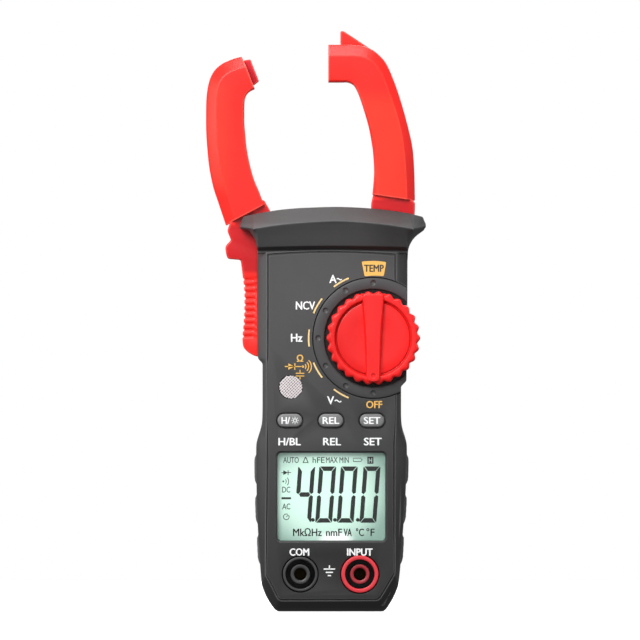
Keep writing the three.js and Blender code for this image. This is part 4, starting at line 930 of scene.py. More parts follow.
def sleeve(stations, s):
    flat = [[v for p in st for v in p] for st in stations]
    fine = resample(flat, 5)
    rings = []
    for r in fine:
        o, c, i2, i = [(r[k], r[k + 1]) for k in (0, 2, 4, 6)]
        # a fine step at the seam line, then eased edges; the rear half has a lip that closes the seam
        mid = ((o[0] + i[0]) / 2, (o[1] + i[1]) / 2)
        wd = math.hypot(o[0] - i[0], o[1] - i[1]) / 2
        def toward(p, d): return (p[0] + (mid[0] - p[0]) * d / wd, p[1] + (mid[1] - p[1]) * d / wd)
        outer = [(*o, SEAM + 0.18), (*o, 5.0), (*c, JAW_Y), (*i2, JAW_Y), (*i, JAW_Y - 0.9), (*i, SEAM + 0.18)]
        ease = [0.1, 0.9, 0.42, 0.5, 0.35, 0.1]
        if s > 0:
            sec = [(*toward(o, 0.45), -0.14), (*toward(o, 0.45), 0.13), (*toward(o, 0.12), 0.15)] + outer + [(*toward(i, 0.12), 0.15), (*toward(i, 0.45), 0.13), (*toward(i, 0.45), -0.14)]
            ease = [0.02, 0.02, 0.03] + ease + [0.03, 0.02, 0.02]
        else:
            sec = [(*toward(o, 0.16), SEAM)] + outer + [(*toward(i, 0.16), SEAM)]
            ease = [0.02] + ease + [0.02]
        sec = soften(sec, lambda k: ease[k], seg=4, smooth_below=0)
        rings.append([(x, s * y, z) for x, z, y in sec])
    n = max(len(r) for r in rings)
    assert all(len(r) == n for r in rings)
    # ease both end faces
    def shrink(r, k, dx, dz):
        cx = sum(p[0] for p in r) / len(r); cy = sum(p[1] for p in r) / len(r); cz = sum(p[2] for p in r) / len(r)
        return [(p[0] + (cx - p[0]) * k + dx, p[1] + (cy - p[1]) * k * 0.8, p[2] + (cz - p[2]) * k + dz) for p in r]
    def along(a, b, d):
        ca = [sum(p[k] for p in a) / len(a) for k in (0, 2)]; cb = [sum(p[k] for p in b) / len(b) for k in (0, 2)]
        l = math.hypot(cb[0] - ca[0], cb[1] - ca[1])
        return ((cb[0] - ca[0]) * d / l, (cb[1] - ca[1]) * d / l)
    d0, d1 = along(rings[0], rings[1], 0.14), along(rings[-1], rings[-2], 0.2)
    first = shrink(rings[0], 0.025, 0, 0)
    rings[0] = [(p[0] + d0[0], p[1], p[2] + d0[1]) for p in rings[0]]
    last = shrink(rings[-1], 0.03, 0, 0)
    rings[-1] = [(p[0] + d1[0], p[1], p[2] + d1[1]) for p in rings[-1]]
    return loft([first] + rings + [last])


def mixp(a, b, t):
    return (a[0] + (b[0] - a[0]) * t, a[1] + (b[1] - a[1]) * t)


def band(stations, half, a, b, extra=()):
    left, right = [], []
    for o, _, _, i in stations[a:b]:
        w = math.hypot(o[0] - i[0], o[1] - i[1]) / 2
        m = mixp(o, i, 0.5)
        left.append(mixp(m, o, half / w))
        right.append(mixp(m, i, half / w))
    for l, r in extra:
        left.append(l)
        right.append(r)
    return left + right[::-1]


def inset(poly, d):
    """Outline moved inwards by d along mitred corners."""
    n = len(poly)
    area2 = sum(poly[i][0] * poly[(i + 1) % n][1] - poly[(i + 1) % n][0] * poly[i][1] for i in range(n))
    sg = 1 if area2 > 0 else -1
    out = []
    for i in range(n):
        a, p, b = poly[i - 1], poly[i], poly[(i + 1) % n]
        t1 = (p[0] - a[0], p[1] - a[1]); t2 = (b[0] - p[0], b[1] - p[1])
        l1, l2 = math.hypot(*t1) or 1e-9, math.hypot(*t2) or 1e-9
        n1 = (-t1[1] / l1 * sg, t1[0] / l1 * sg); n2 = (-t2[1] / l2 * sg, t2[0] / l2 * sg)
        k = 1 + n1[0] * n2[0] + n1[1] * n2[1]
        k = max(k, 0.5)
        out.append((p[0] + (n1[0] + n2[0]) / k * d, p[1] + (n1[1] + n2[1]) / k * d))
    return out


def eased_prism(poly, s, y_out, r_out=0.5, y_in=SEAM, r_plan=0.6, below=28, step=None):
    """Plate with corners rounded in plan and a rounded edge round its outer face."""
    levels = [(0.0, y_in)]
    if step:
        levels = [(step, y_in), (step, y_in + 0.12), (0.0, y_in + 0.2)]
        if s > 0:
            levels = [(0.5, -0.14), (0.5, 0.13), (0.12, 0.15), (0.0, 0.3)]
    levels.append((0.0, y_out - r_out))
    for k in range(1, 6):
        a = math.pi / 2 * k / 5
        levels.append((r_out * (1 - math.cos(a)), y_out - r_out * (1 - math.sin(a))))
    return loft([[(x, s * y, z) for x, z in soften(inset(poly, d), max(0.12, r_plan - d), seg=3, smooth_below=below)] for d, y in levels])


LEVER = [
    (-33.3, 131.5), (-34.75, 127.0), (-34.3, 125.6), (-33.6, 124.15), (-33.75, 123.5), (-34.8, 122.5), (-35.4, 121.6),
    (-35.35, 120.4), (-35.1, 119.0), (-34.8, 117.95), (-34.3, 117.55), (-30.35, 117.2), (-30.1, 115.8), (-29.75, 113.0),
    (-29.55, 111.2), (-29.2, 108.6), (-29.0, 105.6), (-29.05, 102.5), (-29.1, 99.0), (-29.35, 95.6), (-29.65, 92.6),
    (-29.75, 90.4), (-29.45, 88.2), (-28.3, 86.7), (-26.4, 85.5), (-24.9, 84.9), (-21.8, 84.9), (-13.2, 86.5), (-12.4, 104.0),
    (-10.6, 108.9), (-7.1, 108.2), (-3.0, 110.0), (-1.1, 114.4), (-3.0, 118.6), (-6.5, 120.3), (-10.5, 121.9), (-17.6, 127.6),
    (-19.4, 131.8), (-22.5, 137.2), (-30, 137),
]
RIB_Z = (110.6, 108.5, 106.4, 104.3, 102.2, 100.1, 98.0, 95.9, 93.8, 91.7)


def lever_x(z):
    """Outer edge of the trigger at height z."""
    pts = LEVER[11:24]
    for (xa, za), (xb, zb) in zip(pts, pts[1:]):
        if zb <= z <= za:
            return xa + (xb - xa) * (za - z) / (za - zb)
    return -28.5


def make_jaws():
    for s, side in ((-1, "front"), (1, "rear")):
        o = sleeve(FIXED, s)
        root = eased_prism([(14.3, 141), (13.25, 136), (13.25, 117.8), (23.0, 117.8), (23.0, 125.9), (27.6, 130.0), (27.85, 134), (27.85, 136.4), (25.5, 138.4), (25.3, 140)], s, LEVER_Y, 0.5, r_plan=0.5, below=10, step=0.12)
        adds = [root]
        if s > 0:
            hk = soften([(2.97, 186.5), (2.97, 193.5), (3.5, 193.74), (4.4, 193.5), (13.2, 187.65), (12.8, 185.6)], 0.35, seg=4, smooth_below=0)
            adds.append(loft([[(x + (7 - x) * k, y, z + (189 - z) * k) for x, z in hk] for k, y in ((0.05, 2.2), (0.0, 2.5), (0.0, 7.0), (0.06, 7.4))]))
        o = csg(o, "UNION", adds)
        lo, hi = (-5.0, 0.02) if s < 0 else (-0.4, 5.0)
        o = csg(o, "DIFFERENCE", [prism(band(FIXED, 4.2, 1, 12, [((21.6, 122), (15.2, 122))]), lo - 0.01, hi), loft([[(x, y, z) for x, z in ((-2, zt), (1.6, zt), (1.6, zb), (-2, zb))] for y, zt, zb in ((-5.4 if s < 0 else -0.4, 187.3, 178.0), (0.02 if s < 0 else 5.4, 187.3, 178.0))])])
        tidy(o, f"fixed_jaw_{side}_half", RED, "housing", [f"fixed_jaw_{side}_shell"], angle=30, slot="red_plastic")

        o = sleeve(MOVING, s)
        o = csg(o, "UNION", [eased_prism(LEVER, s, LEVER_Y, 0.55, step=0.12)])
        stub = [(-30.2, 183.0), (-28.9, 183.9), (-27.05, 184.15), (-24.2, 176.9), (-25.8, 175.6), (-27.6, 175.4)]
        o = csg(o, "UNION", [eased_prism(stub, s, 4.7, 0.3, r_plan=0.3, below=0)])
        # ribs: rounded grooves across the trigger's outer edge
        grooves, face_tools = [], []
        for z in RIB_Z:
            x = lever_x(z)
            arc = [(x - 1.2, z - 0.52)] + [(x - 0.1 + 0.46 * math.cos(a), z + 0.52 * math.sin(a)) for a in [(-90 + 22.5 * k) * math.pi / 180 for k in range(9)]] + [(x - 1.2, z + 0.52)]
            grooves.append(prism(arc, -9 if s < 0 else SEAM - 0.1, -(SEAM - 0.1) if s < 0 else 9))
            face = [(g, s * yy) for g, yy in ((0.5, 9.0), (0.5, LEVER_Y + 0.01), (0.3, LEVER_Y - 0.07), (0.08, LEVER_Y - 0.19), (-0.15, LEVER_Y - 0.26))]
            face_tools.append(loft([[(px_, y, pz_) for px_, pz_ in pill(x + 1.2, z, 4.2 + 2 * g, 0.6 + 2 * g, 8)] for g, y in face]))
        o = csg(o, "DIFFERENCE", [prism(band(MOVING, 4.2, 1, 13, [((-27.5, 124.5), (-20.5, 129.0))]), lo - 0.01, hi), rod(*PIVOT, 2.3, -20, 20, 64),
                                  fused(grooves), fused(face_tools), prism([(-25.5, 112.5), (-25.5, 90.5), (-16.2, 89.6), (-15.8, 108.5)], *((-5.2, 0.02) if s < 0 else (-0.4, 5.2)))])
        if s > 0:
            ringt = turned([(3.4, 4.3), (6.4, 4.3), (6.4, 9), (3.4, 9), (3.4, 4.3)], *PIVOT, n=64)
            o = csg(o, "DIFFERENCE", [ringt, block(-1.6, 3, 4.3, 9, 108, 121)])
        tidy(o, f"moving_jaw_{side}_half", RED, "moving_jaw", [f"moving_jaw_{side}_shell"], angle=30, slot="red_plastic")


# ------------------------------------------------------------------ selector
def make_knob():
    n, lobes = 26 * 12, 26
    def level(y, r, s):
        out = []
        for k in range(n):
            a = 2 * math.pi * k / n
            w = 2 * abs(math.sin(lobes / 2 * a)) ** 1.5 - 1
            rr = r + s * w
            out.append((DIAL[0] + rr * math.sin(a), y, DIAL[1] + rr * math.cos(a)))
        return out
    prof = [(-13.2, 14.6, 0.25), (-13.5, 15.05, 0.40), (-13.9, 15.2, 0.44), (-17.0, 15.12, 0.44), (-17.5, 15.0, 0.42), (-17.9, 14.75, 0.34), (-18.12, 14.35, 0.22), (-18.2, 13.9, 0.1),
            (-18.2, 13.3, 0.0), (-18.12, 13.05, 0), (-17.85, 12.85, 0), (-17.3, 12.72, 0), (-16.95, 12.55, 0), (-16.9, 12.35, 0), (-17.05, 12.15, 0), (-17.3, 12.0, 0), (-17.42, 11.7, 0), (-17.25, 8.0, 0), (-17.0, 4.0, 0), (-16.95, 1.0, 0)]
    o = loft([level(*p) for p in prof])
    def grip(k, y, w=0.0):
        base = [(-3.5, 14.2), (-3.3, 11), (-2.75, 6), (-2.3, 0), (-2.15, -7), (-2.1, -13.3), (-1.9, -14.1), (-1.2, -14.5), (1.2, -14.5), (1.9, -14.1), (2.1, -13.3), (2.15, -7), (2.3, 0), (2.75, 6), (3.3, 11), (3.5, 14.2), (3.2, 14.6), (-3.2, 14.6)]
        base = soften(base, 0.5, seg=3, smooth_below=30)
        return [(DIAL[0] + x * (1 - k * 0.5 / 2.3) + (0.5 * w if x > 0 else -0.5 * w), y, DIAL[1] + z * (1 - k * 0.03)) for x, z in base]
    bar = loft([grip(-0.5, -16.6, 1.0), grip(-0.42, -17.05, 0.75), grip(-0.3, -17.45, 0.42), grip(-0.1, -17.9, 0.16), grip(0.0, -18.3), grip(0.06, -18.8), grip(0.22, -19.05), grip(0.5, -19.17), grip(0.9, -19.2)])
    o = csg(o, "UNION", [rod(*DIAL, 3.0, -13.4, -11.9, 48), bar])
    dot = turned([(0, -20), (0.95, -20), (0.95, -19.22), (0.8, -19.1), (0.72, -18.95), (0, -18.85)], DIAL[0], DIAL[1] - 12.6, n=32)
    o = csg(o, "DIFFERENCE", [dot])
    tidy(o, "selector_knob_moulding", RED_KNOB, "selector", ["selector_knob"], angle=33, slot="red_plastic")
    # painted shade: a black sheet lining the well under the knob, and a black ring as painted shadow in the gap outside
    # the ring
    well_shade_sheet = csg(turned([(3.2, -13.05), (3.2, -12.93), (16.25, -12.93), (16.25, -13.05), (3.2, -13.05)], *DIAL, n=120), "INTERSECT", [prism(dial_side(0.15), -20, 0)])
    tidy(well_shade_sheet, "dial_well_shade_sheet", BLACK, "housing", (), angle=30, slot="dial_plastic")
    gap = csg(turned([(20.03, -13.45), (20.03, -13.28), (20.42, -13.28), (20.42, -13.45), (20.03, -13.45)], *DIAL, n=168), "INTERSECT", [prism(dial_side(0.15), -20, 0)])
    tidy(gap, "dial_gap_shadow_sheet", BLACK, "housing", (), angle=30, slot="dial_plastic")
    # ring round the knob, with a dimple at each position
    r = turned([(16.4, -13.6), (20.0, -13.6), (20.0, -14.02), (19.9, -14.15), (19.75, -14.2), (16.75, -14.2), (16.5, -14.12), (16.4, -13.95), (16.4, -13.6)], *DIAL, n=168)
    r = csg(r, "INTERSECT", [prism(dial_side(0.1), -20, 0)])
    dimples = []
    for d in range(0, 181, 30):
        x, z = DIAL[0] - 18.35 * math.sin(math.radians(d)), DIAL[1] + 18.35 * math.cos(math.radians(d))
        dimples.append(turned([(0, -16), (0.98, -16), (0.98, -14.22), (0.9, -14.1), (0.72, -13.95), (0.45, -13.86), (0, -13.82)], x, z, n=28))
    r = csg(r, "DIFFERENCE", [fused(dimples)])
    tidy(r, "dial_ring_moulding", DIALP, "housing", ["dial_ring"], angle=30, slot="dial_plastic")


# ------------------------------------------------------------------ keys
def make_keys():
    for x, name, body in zip(BUTTON_X, ("left", "mid", "right"), ("key_left", "key_mid", "key_right")):
        lv = lambda w, h, y: [(a, y, b) for a, b in pill(x, BUTTON_Z, w, h, 18)]
        o = loft([lv(9.8, 6.0, -11.2), lv(9.8, 6.0, -11.6), lv(8.22, 4.42, -11.62), lv(8.2, 4.4, -14.2), lv(8.14, 4.34, -14.45), lv(7.96, 4.16, -14.68), lv(7.66, 3.86, -14.84), lv(7.1, 3.3, -14.93), lv(6.0, 2.2, -14.985), lv(4.4, 0.6, -15.0)])
        tidy(o, f"key_{name}_cap", KEY, body, [f"button_{name}"], angle=45, slot="key_plastic")


# ------------------------------------------------------------------ sockets
def make_jacks():
    for name, mat, slot in (("com", COMP, "com_plastic"), ("input", INP, "input_plastic")):
        x, r = JACKS[name]
        prof = [(3.25, -13.75), (3.25, 1.5), (4.9, 1.5), (4.9, -14.2), (4.98, -14.34), (5.12, -14.4), (r - 0.35, -14.4), (r - 0.12, -14.33), (r, -14.15), (r, -11.4), (5.75, -11.2), (5.75, 3.2),
                (1.4, 3.2), (1.4, 1.5), (2.55, 1.5), (2.55, -10.5), (2.05, -10.9), (2.05, -13.55), (2.15, -13.75), (2.4, -13.9), (3.0, -13.9), (3.17, -13.86), (3.25, -13.75)]
        o = turned(prof, x, JACK_Z, n=88)
        tidy(o, f"{name}_socket", mat, "housing", [f"{name}_jack_shroud"], angle=32, slot=slot)
        prof = [(2.0, -10.0), (2.07, -10.2), (2.18, -10.2), (2.25, -10.0), (2.25, 1.2), (1.15, 1.2), (1.15, 5.3), (0.9, 5.6), (0, 5.6)]
        o = turned([(0, 0.6), (2.0, 0.6)] + prof, x, JACK_Z, n=56)
        tidy(o, f"{name}_contact_sleeve", BRASS_DEEP, "housing", [f"{name}_jack_sleeve"], angle=32, slot="brass")


# ------------------------------------------------------------------ grille
def make_grille():
    gx, gz = GRILLE
    o = turned([(0, -12.6), (3.8, -12.6), (3.85, -12.7), (3.85, -13.5), (3.75, -13.6), (0, -13.6)], gx, gz, n=64)
    tidy(o, "grille_base", BLACK, "housing", ["sensor_grille"], angle=32, slot="grille")
    # lattice of fine diagonal bars over the dark base, longer bars standing proud
    c = math.sqrt(0.5)
    bars = []
    def bar(d, w, y0, y1, a, rad=3.82):
        L = math.sqrt(max(0.01, rad * rad - d * d))
        ux, uz = math.cos(a), math.sin(a)
        vx, vz = -uz, ux
        p = lambda s, t: (gx + s * ux + t * vx, gz + s * uz + t * vz)
        out = soften([p(-L, d - w), p(L, d - w), p(L, d + w), p(-L, d + w)], 0.15, seg=2, smooth_below=0)
        mx = lambda q, k: (gx + (q[0] - gx) * k, gz + (q[1] - gz) * k)
        return loft([[(q[0], y0, q[1]) for q in out], [(q[0], y1 + 0.08, q[1]) for q in out], [(*[mx(q, 0.985)[0]], y1, mx(q, 0.985)[1]) for q in out]])
    a = math.radians(45)
    for k in range(-5, 6):
        bars.append(bar(k * 0.68, 0.2, -13.5, -14.1, a))
    o = fused(bars)
    tidy(o, "grille_bars", GRILLE_MAT, "housing", (), angle=30, slot="grille", clean=False)
    bars = [bar(k * 0.86, 0.15, -13.5, -13.86, a + math.pi / 2, 3.75) for k in range(-4, 5)]
    o = fused(bars)
    tidy(o, "grille_cross_bars", GRILLE_MAT, "housing", (), angle=30, slot="grille", clean=False)


# ------------------------------------------------------------------ print and display marks
FACE = -13.95


def cap_metrics():
    """Height and foot of a capital letter, for a text size of one."""
    cu = bpy.data.curves.new("cap", "FONT")
    cu.body = "H"
    cu.align_y = "CENTER"
    o = bpy.data.objects.new("cap", cu)
    COL.objects.link(o)
    bpy.context.view_layer.update()
    me = bpy.data.meshes.new_from_object(o.evaluated_get(bpy.context.evaluated_depsgraph_get()))
    bpy.data.objects.remove(o)
    ys = [v.co.y for v in me.vertices]
    return max(ys) - min(ys), min(ys)


CAP, CAP_BASE = cap_metrics()


def flat_mesh(name, polys, y, mat, body="housing", thick=0.03, slot=None):
    """Thin raised film from outlines in x, z."""
    bm_objs = [loft([[(x, y, z) for x, z in p], [(x, y - thick, z) for x, z in p]]) for p in polys]
    o = fused(bm_objs)
    return tidy(o, name, mat, body, (), angle=30, slot=slot, clean=False)


def text(name, body_text, x, z, size, y, mat, body="housing", width=None, bold=0.0, thick=0.03, slot=None):
    """Generic legend as a thin raised film. size is the capital height in mm and width the whole width."""
    cu = bpy.data.curves.new(name, "FONT")
    cu.body = body_text
    cu.align_x = "CENTER"
    cu.align_y = "CENTER"
    cu.size = 10 * MM
    cu.resolution_u = 3
    cu.extrude = thick / 2 * MM
    o = bpy.data.objects.new(name, cu)
    COL.objects.link(o)
    bpy.context.view_layer.update()
    me = bpy.data.meshes.new_from_object(o.evaluated_get(bpy.context.evaluated_depsgraph_get()))
    bpy.data.objects.remove(o)
    bm = bmesh.new()
    bm.from_mesh(me)
    bmesh.ops.remove_doubles(bm, verts=bm.verts, dist=1e-7)
    bm.to_mesh(me)
    bm.free()
    xs, zs = [v.co.x for v in me.vertices], [v.co.y for v in me.vertices]
    kz = size * MM / (CAP * 10 * MM)
    kx = (width - 2 * bold) * MM / (max(xs) - min(xs)) if width else kz
    cx, cz = (max(xs) + min(xs)) / 2, CAP * 5 * MM + CAP_BASE * 10 * MM
    me.transform(Matrix.Translation((-cx, -cz, 0)))
    me.transform(Matrix.Diagonal((kx, kz, 1, 1)))
    me.transform(Matrix.Rotation(math.pi / 2, 4, "X"))
    bm = bmesh.new()
    shifts = [(0, 0)] if not bold else [(-bold, 0), (bold, 0), (0, bold * 0.6), (0, -bold * 0.6)]
    for k, (a, c) in enumerate(shifts):
        m2 = me.copy()
        m2.transform(Matrix.Translation(((x + a) * MM, (y - thick / 2 - 0.0012 * k) * MM, (z + c) * MM)))
        bm.from_mesh(m2)
        bpy.data.meshes.remove(m2)
    me = bpy.data.meshes.new(name)
    bm.to_mesh(me)
    bm.free()
    o = bpy.data.objects.new(name, me)
    COL.objects.link(o)
    return tidy(o, name, mat, body, (), angle=30, slot=slot, clean=False)


def px(x, y):
    return ((x - 331.5) / 3, (611.5 - y) / 3)


def stroke(pts, w):
    """Outline of a line of width w through pts."""
    L, R = [], []
    n = len(pts)
    for i, p in enumerate(pts):
        a, b = pts[max(0, i - 1)], pts[min(n - 1, i + 1)]
        dx, dz = b[0] - a[0], b[1] - a[1]
        l = math.hypot(dx, dz) or 1e-9
        L.append((p[0] - dz / l * w / 2, p[1] + dx / l * w / 2))
        R.append((p[0] + dz / l * w / 2, p[1] - dx / l * w / 2))
    return L + R[::-1]


def arc(cx, cz, r, a0, a1, n=16):
    return [(cx + r * math.cos(math.radians(a0 + (a1 - a0) * k / n)), cz + r * math.sin(math.radians(a0 + (a1 - a0) * k / n))) for k in range(n + 1)]


def make_legends():
    S = "case_plastic"
    Y = FACE
    T = lambda *a, **k: text(*a, slot=S, **k)
    T("legend_current", "A", *px(333.0, 279), 2.6, Y, WHITE, width=2.5, bold=0.10)
    ax, az = px(339.2, 279.2)
    wave = lambda x, z, w, h: stroke([(x + w * (t / 12 - 0.5), z + h * math.sin(2 * math.pi * t / 12)) for t in range(13)], 0.36)
    T("legend_frequency", "Hz", *px(296.7, 337.7), 2.6, Y, WHITE, width=3.9, bold=0.10)
    T("legend_volts", "V", *px(330.6, 400.2), 2.6, Y, WHITE, width=2.4, bold=0.10)
    vx, vz = px(338.0, 401.0)
    flat_mesh("legend_waves", [wave(ax, az, 1.7, 0.26), wave(vx, vz, 2.2, 0.32)], Y, WHITE, slot=S)
    T("legend_field", "NCV", *px(305.5, 305.5), 2.6, Y, WHITE, width=6.5, bold=0.10)
    T("legend_off", "OFF", *px(374.2, 404.5), 2.3, Y, YELLOW, width=5.4, bold=0.09)
    T("legend_common", "COM", *px(299.4, 551.9), 2.3, Y, WHITE, width=6.6, bold=0.11)
    T("legend_input", "INPUT", *px(359.8, 551.9), 2.3, Y, WHITE, width=8.6, bold=0.11)
    for x, t, wd in ((289.6, "H/BL", 7.5), (332.0, "REL", 6.0), (372.8, "SET", 6.0)):
        T("legend_below_" + t[:3].replace("/", "_").lower(), t, *px(x, 441.5), 2.4, Y, WHITE, width=wd, bold=0.10)
    # resistance, diode, sounder and capacitor signs
    T("legend_ohm", "Ω", *px(300, 358.4), 2.1, Y, YELLOW, width=2.2, bold=0.09)
    dx, dz = px(293.5, 366.5)
    polys = [[(dx - 1.7, dz - 1.05), (dx + 0.3, dz), (dx - 1.7, dz + 1.05)], stroke([(dx + 0.45, dz - 1.1), (dx + 0.45, dz + 1.1)], 0.36), stroke([(dx - 2.9, dz), (dx + 3.0, dz)], 0.32)]
    sx, sz = px(303.0, 366.5)
    polys += [stroke(arc(sx, sz, r, -48, 48, 10), 0.34) for r in (1.0, 1.9, 2.8)] + [circle(sx - 0.05, sz, 0.42, 14)]
    kx, kz = px(300, 374.6)
    polys += [stroke([(kx - 1.4, kz + 0.45), (kx + 1.4, kz + 0.45)], 0.32), stroke([(kx - 1.4, kz - 0.45), (kx + 1.4, kz - 0.45)], 0.32), stroke([(kx, kz + 0.45), (kx, kz + 1.6)], 0.32), stroke([(kx, kz - 0.45), (kx, kz - 1.6)], 0.32)]
    flat_mesh("legend_signs", polys, Y, YELLOW, slot=S)
    # position arcs beside the ring
    for d in (30, 60, 90, 120, 150):
        pts = arc(*DIAL, 21.55, 90 + d - 7.6, 90 + d + 7.6, 18)
        flat_mesh(f"position_arc_{d}", [stroke(pts, 0.52)], Y, PALE_YELLOW, slot=S)
    # badge above the ring: a plain plate with TEMP printed on it
    bt = [px(361.6, 261.6), px(374.0, 260.6), px(386.2, 262.0), px(385.2, 268), px(383.6, 276.2), px(374.0, 275.4), px(364.6, 276.4), px(363.0, 268)]
    bt = soften(bt, 0.4, seg=3, smooth_below=28)
    flat_mesh("badge_plate", [bt], Y, YELLOW, slot=S)
    T("badge_temp", "TEMP", *px(373.9, 268.3), 2.3, Y - 0.03, DARK_INK, width=6.6, bold=0.09)
    # earth sign between the sockets
    ex, z0 = px(329.4, 565.2)
    z1, z2, z3 = (px(0, y)[1] for y in (568.9, 572.2, 575.4))
    polys = [stroke([(ex, z0), (ex, z1)], 0.4)] + [stroke([(ex - w / 2, z), (ex + w / 2, z)], 0.4) for z, w in ((z1, 3.8), (z2, 2.4), (z3, 1.1))]
    flat_mesh("legend_earth", polys, Y, WHITE, slot=S)
    # key marks
    K = -14.985
    T = lambda *a, **k: text(*a, slot="key_plastic", thick=0.05, **k)
    T("mark_key_left", "H/", BUTTON_X[0] - 1.35, BUTTON_Z, 2.2, K, WHITE, body="key_left", width=2.9, bold=0.09)
    sx = BUTTON_X[0] + 1.75
    flat_mesh("mark_key_left_lamp", [stroke(arc(sx, BUTTON_Z, 0.55, 0, 360, 24), 0.26)] + [stroke([(sx + 0.85 * math.cos(a), BUTTON_Z + 0.85 * math.sin(a)), (sx + 1.22 * math.cos(a), BUTTON_Z + 1.22 * math.sin(a))], 0.24) for a in [math.pi / 4 * k for k in range(8)]], K, WHITE, "key_left", slot="key_plastic", thick=0.05)
    T("mark_key_mid", "REL", BUTTON_X[1], BUTTON_Z, 2.2, K, WHITE, body="key_mid", width=5.6, bold=0.10)
    T("mark_key_right", "SET", BUTTON_X[2], BUTTON_Z, 2.2, K, WHITE, body="key_right", width=5.6, bold=0.10)


def make_display():
    g = loft([[(x, y, z) for x, z in round_rect(-19.4, 19.3, 21.8, 54.9, 0.5)] for y in (-11.7, -10.9)])
    tidy(g, "lcd_cell", LCD, "housing", ["lcd_glass"], angle=30, slot="lcd")
    rr = lambda k, y: [(x, y, z) for x, z in round_rect(WIN[0] + 0.22 + k, WIN[1] - 0.22 - k, WIN[2] + 0.22 + k, WIN[3] - 0.22 - k, 1.15)]
    l = loft([rr(0, -12.7), rr(0, -13.34), rr(0.1, -13.46), rr(0.28, -13.5)])
    tidy(l, "lcd_window", LENS, "housing", ["lcd_lens"], angle=30, slot="clear_window")
    # vertex and face lists for a black printed border behind the window; no object is made from them
    out, inn = round_rect(-18.6, 18.5, 23.0, 53.6, 1.6), round_rect(WIN[0] + 0.28, WIN[1] - 0.16, WIN[2] + 0.2, WIN[3] - 0.34, 1.1)
    n = len(out)
    verts = [(x, -12.45, z) for x, z in out] + [(x, -12.45, z) for x, z in inn] + [(x, -12.3, z) for x, z in out] + [(x, -12.3, z) for x, z in inn]
    faces = []
    for i in range(n):
        j = (i + 1) % n
        faces += [(i, j, n + j, n + i), (2 * n + i, 3 * n + i, 3 * n + j, 2 * n + j), (i, 2 * n + i, 2 * n + j, j), (n + i, n + j, 3 * n + j, 3 * n + i)]
    S = "lcd"
    Y = -11.7
    # digits: slanted seven-segment
    slant = 0.075
    x_edges = [((295.6 + 1.2), 312.4), (317.4, 334.0), (338.8, 355.6), (361.4, 378.4)]
    shapes = {"4": "fgbc", "0": "abcdef"}
    top, bot = (611.5 - 466.4) / 3, (611.5 - 522.6) / 3
    H, W, t = top - bot, 5.65, 1.5
    polys = []
    for (xa, xb), ch in zip(x_edges, "4000"):
        xc = ((xa + xb) / 2 - 331.5) / 3
        def P(u, v):  # u -1..1 across, v 0..1 up, before the slant
            z = bot + v * H
            return (xc + u + (z - (top + bot) / 2) * slant, z)
        h = W / 2
        m, g2 = 0.5, 0.16
        tv = t / H
        gv = g2 / H
        seg = {
            "a": [P(-h + 0.35, 1), P(h - 0.35, 1), P(h - t, 1 - tv), P(-h + t, 1 - tv)],
            "d": [P(-h + 0.35, 0), P(h - 0.35, 0), P(h - t, tv), P(-h + t, tv)],
            "f": [P(-h, 1 - 0.02), P(-h + 0.2, 1 - 0.006), P(-h + t - 0.12, 1 - tv - gv), P(-h + t - 0.12, m + tv * 0.55 + gv), P(-h + t * 0.5, m + gv), P(-h, m + tv * 0.4)],
            "b": [P(h, 1 - 0.02), P(h - 0.2, 1 - 0.006), P(h - t + 0.12, 1 - tv - gv), P(h - t + 0.12, m + tv * 0.55 + gv), P(h - t * 0.5, m + gv), P(h, m + tv * 0.4)],
            "e": [P(-h, 0.02), P(-h + 0.2, 0.006), P(-h + t - 0.12, tv + gv), P(-h + t - 0.12, m - tv * 0.55 - gv), P(-h + t * 0.5, m - gv), P(-h, m - tv * 0.4)],
            "c": [P(h, 0.02), P(h - 0.2, 0.006), P(h - t + 0.12, tv + gv), P(h - t + 0.12, m - tv * 0.55 - gv), P(h - t * 0.5, m - gv), P(h, m - tv * 0.4)],
            "g": [P(-h + t * 0.55 + 0.1, m), P(-h + t, m + tv * 0.5), P(h - t, m + tv * 0.5), P(h - t * 0.55 - 0.1, m), P(h - t, m - tv * 0.5), P(-h + t, m - tv * 0.5)],
        }
        polys += [seg[k] for k in shapes[ch]]
    for dxp in (312.6, 334.6, 357.4):
        cx, cz = px(dxp, 519.8)
        polys.append(circle(cx + 0.1, cz, 0.62, 20))
    flat_mesh("lcd_digits", polys, Y, SEG, slot=S, thick=0.04)
    T = lambda nm, tx, x, y, size, mat=SEG_SOFT, **k: text(nm, tx, *px(x, y), size, Y, mat, slot=S, **k)
    T("lcd_auto", "AUTO", 291.0, 460, 1.9, width=5.2, bold=0.02)
    T("lcd_delta", "Δ", 305.6, 460, 1.9, width=2.0)
    T("lcd_gain", "hFE", 318.6, 460, 1.9, width=4.0, bold=0.02)
    T("lcd_max_min", "MAX MIN", 337.4, 460, 1.9, width=7.6, bold=0.02)
    bx, bz = px(357.6, 459.8)
    flat_mesh("lcd_battery", [stroke([(bx - 1.4, bz - 0.56), (bx + 1.2, bz - 0.56), (bx + 1.2, bz + 0.56), (bx - 1.4, bz + 0.56), (bx - 1.4, bz - 0.56)], 0.22), stroke([(bx + 1.45, bz - 0.3), (bx + 1.45, bz + 0.3)], 0.26)], Y, SEG_SOFT, slot=S)
    hx, hz = px(370.4, 460.2)
    w, h = 1.02, 1.18
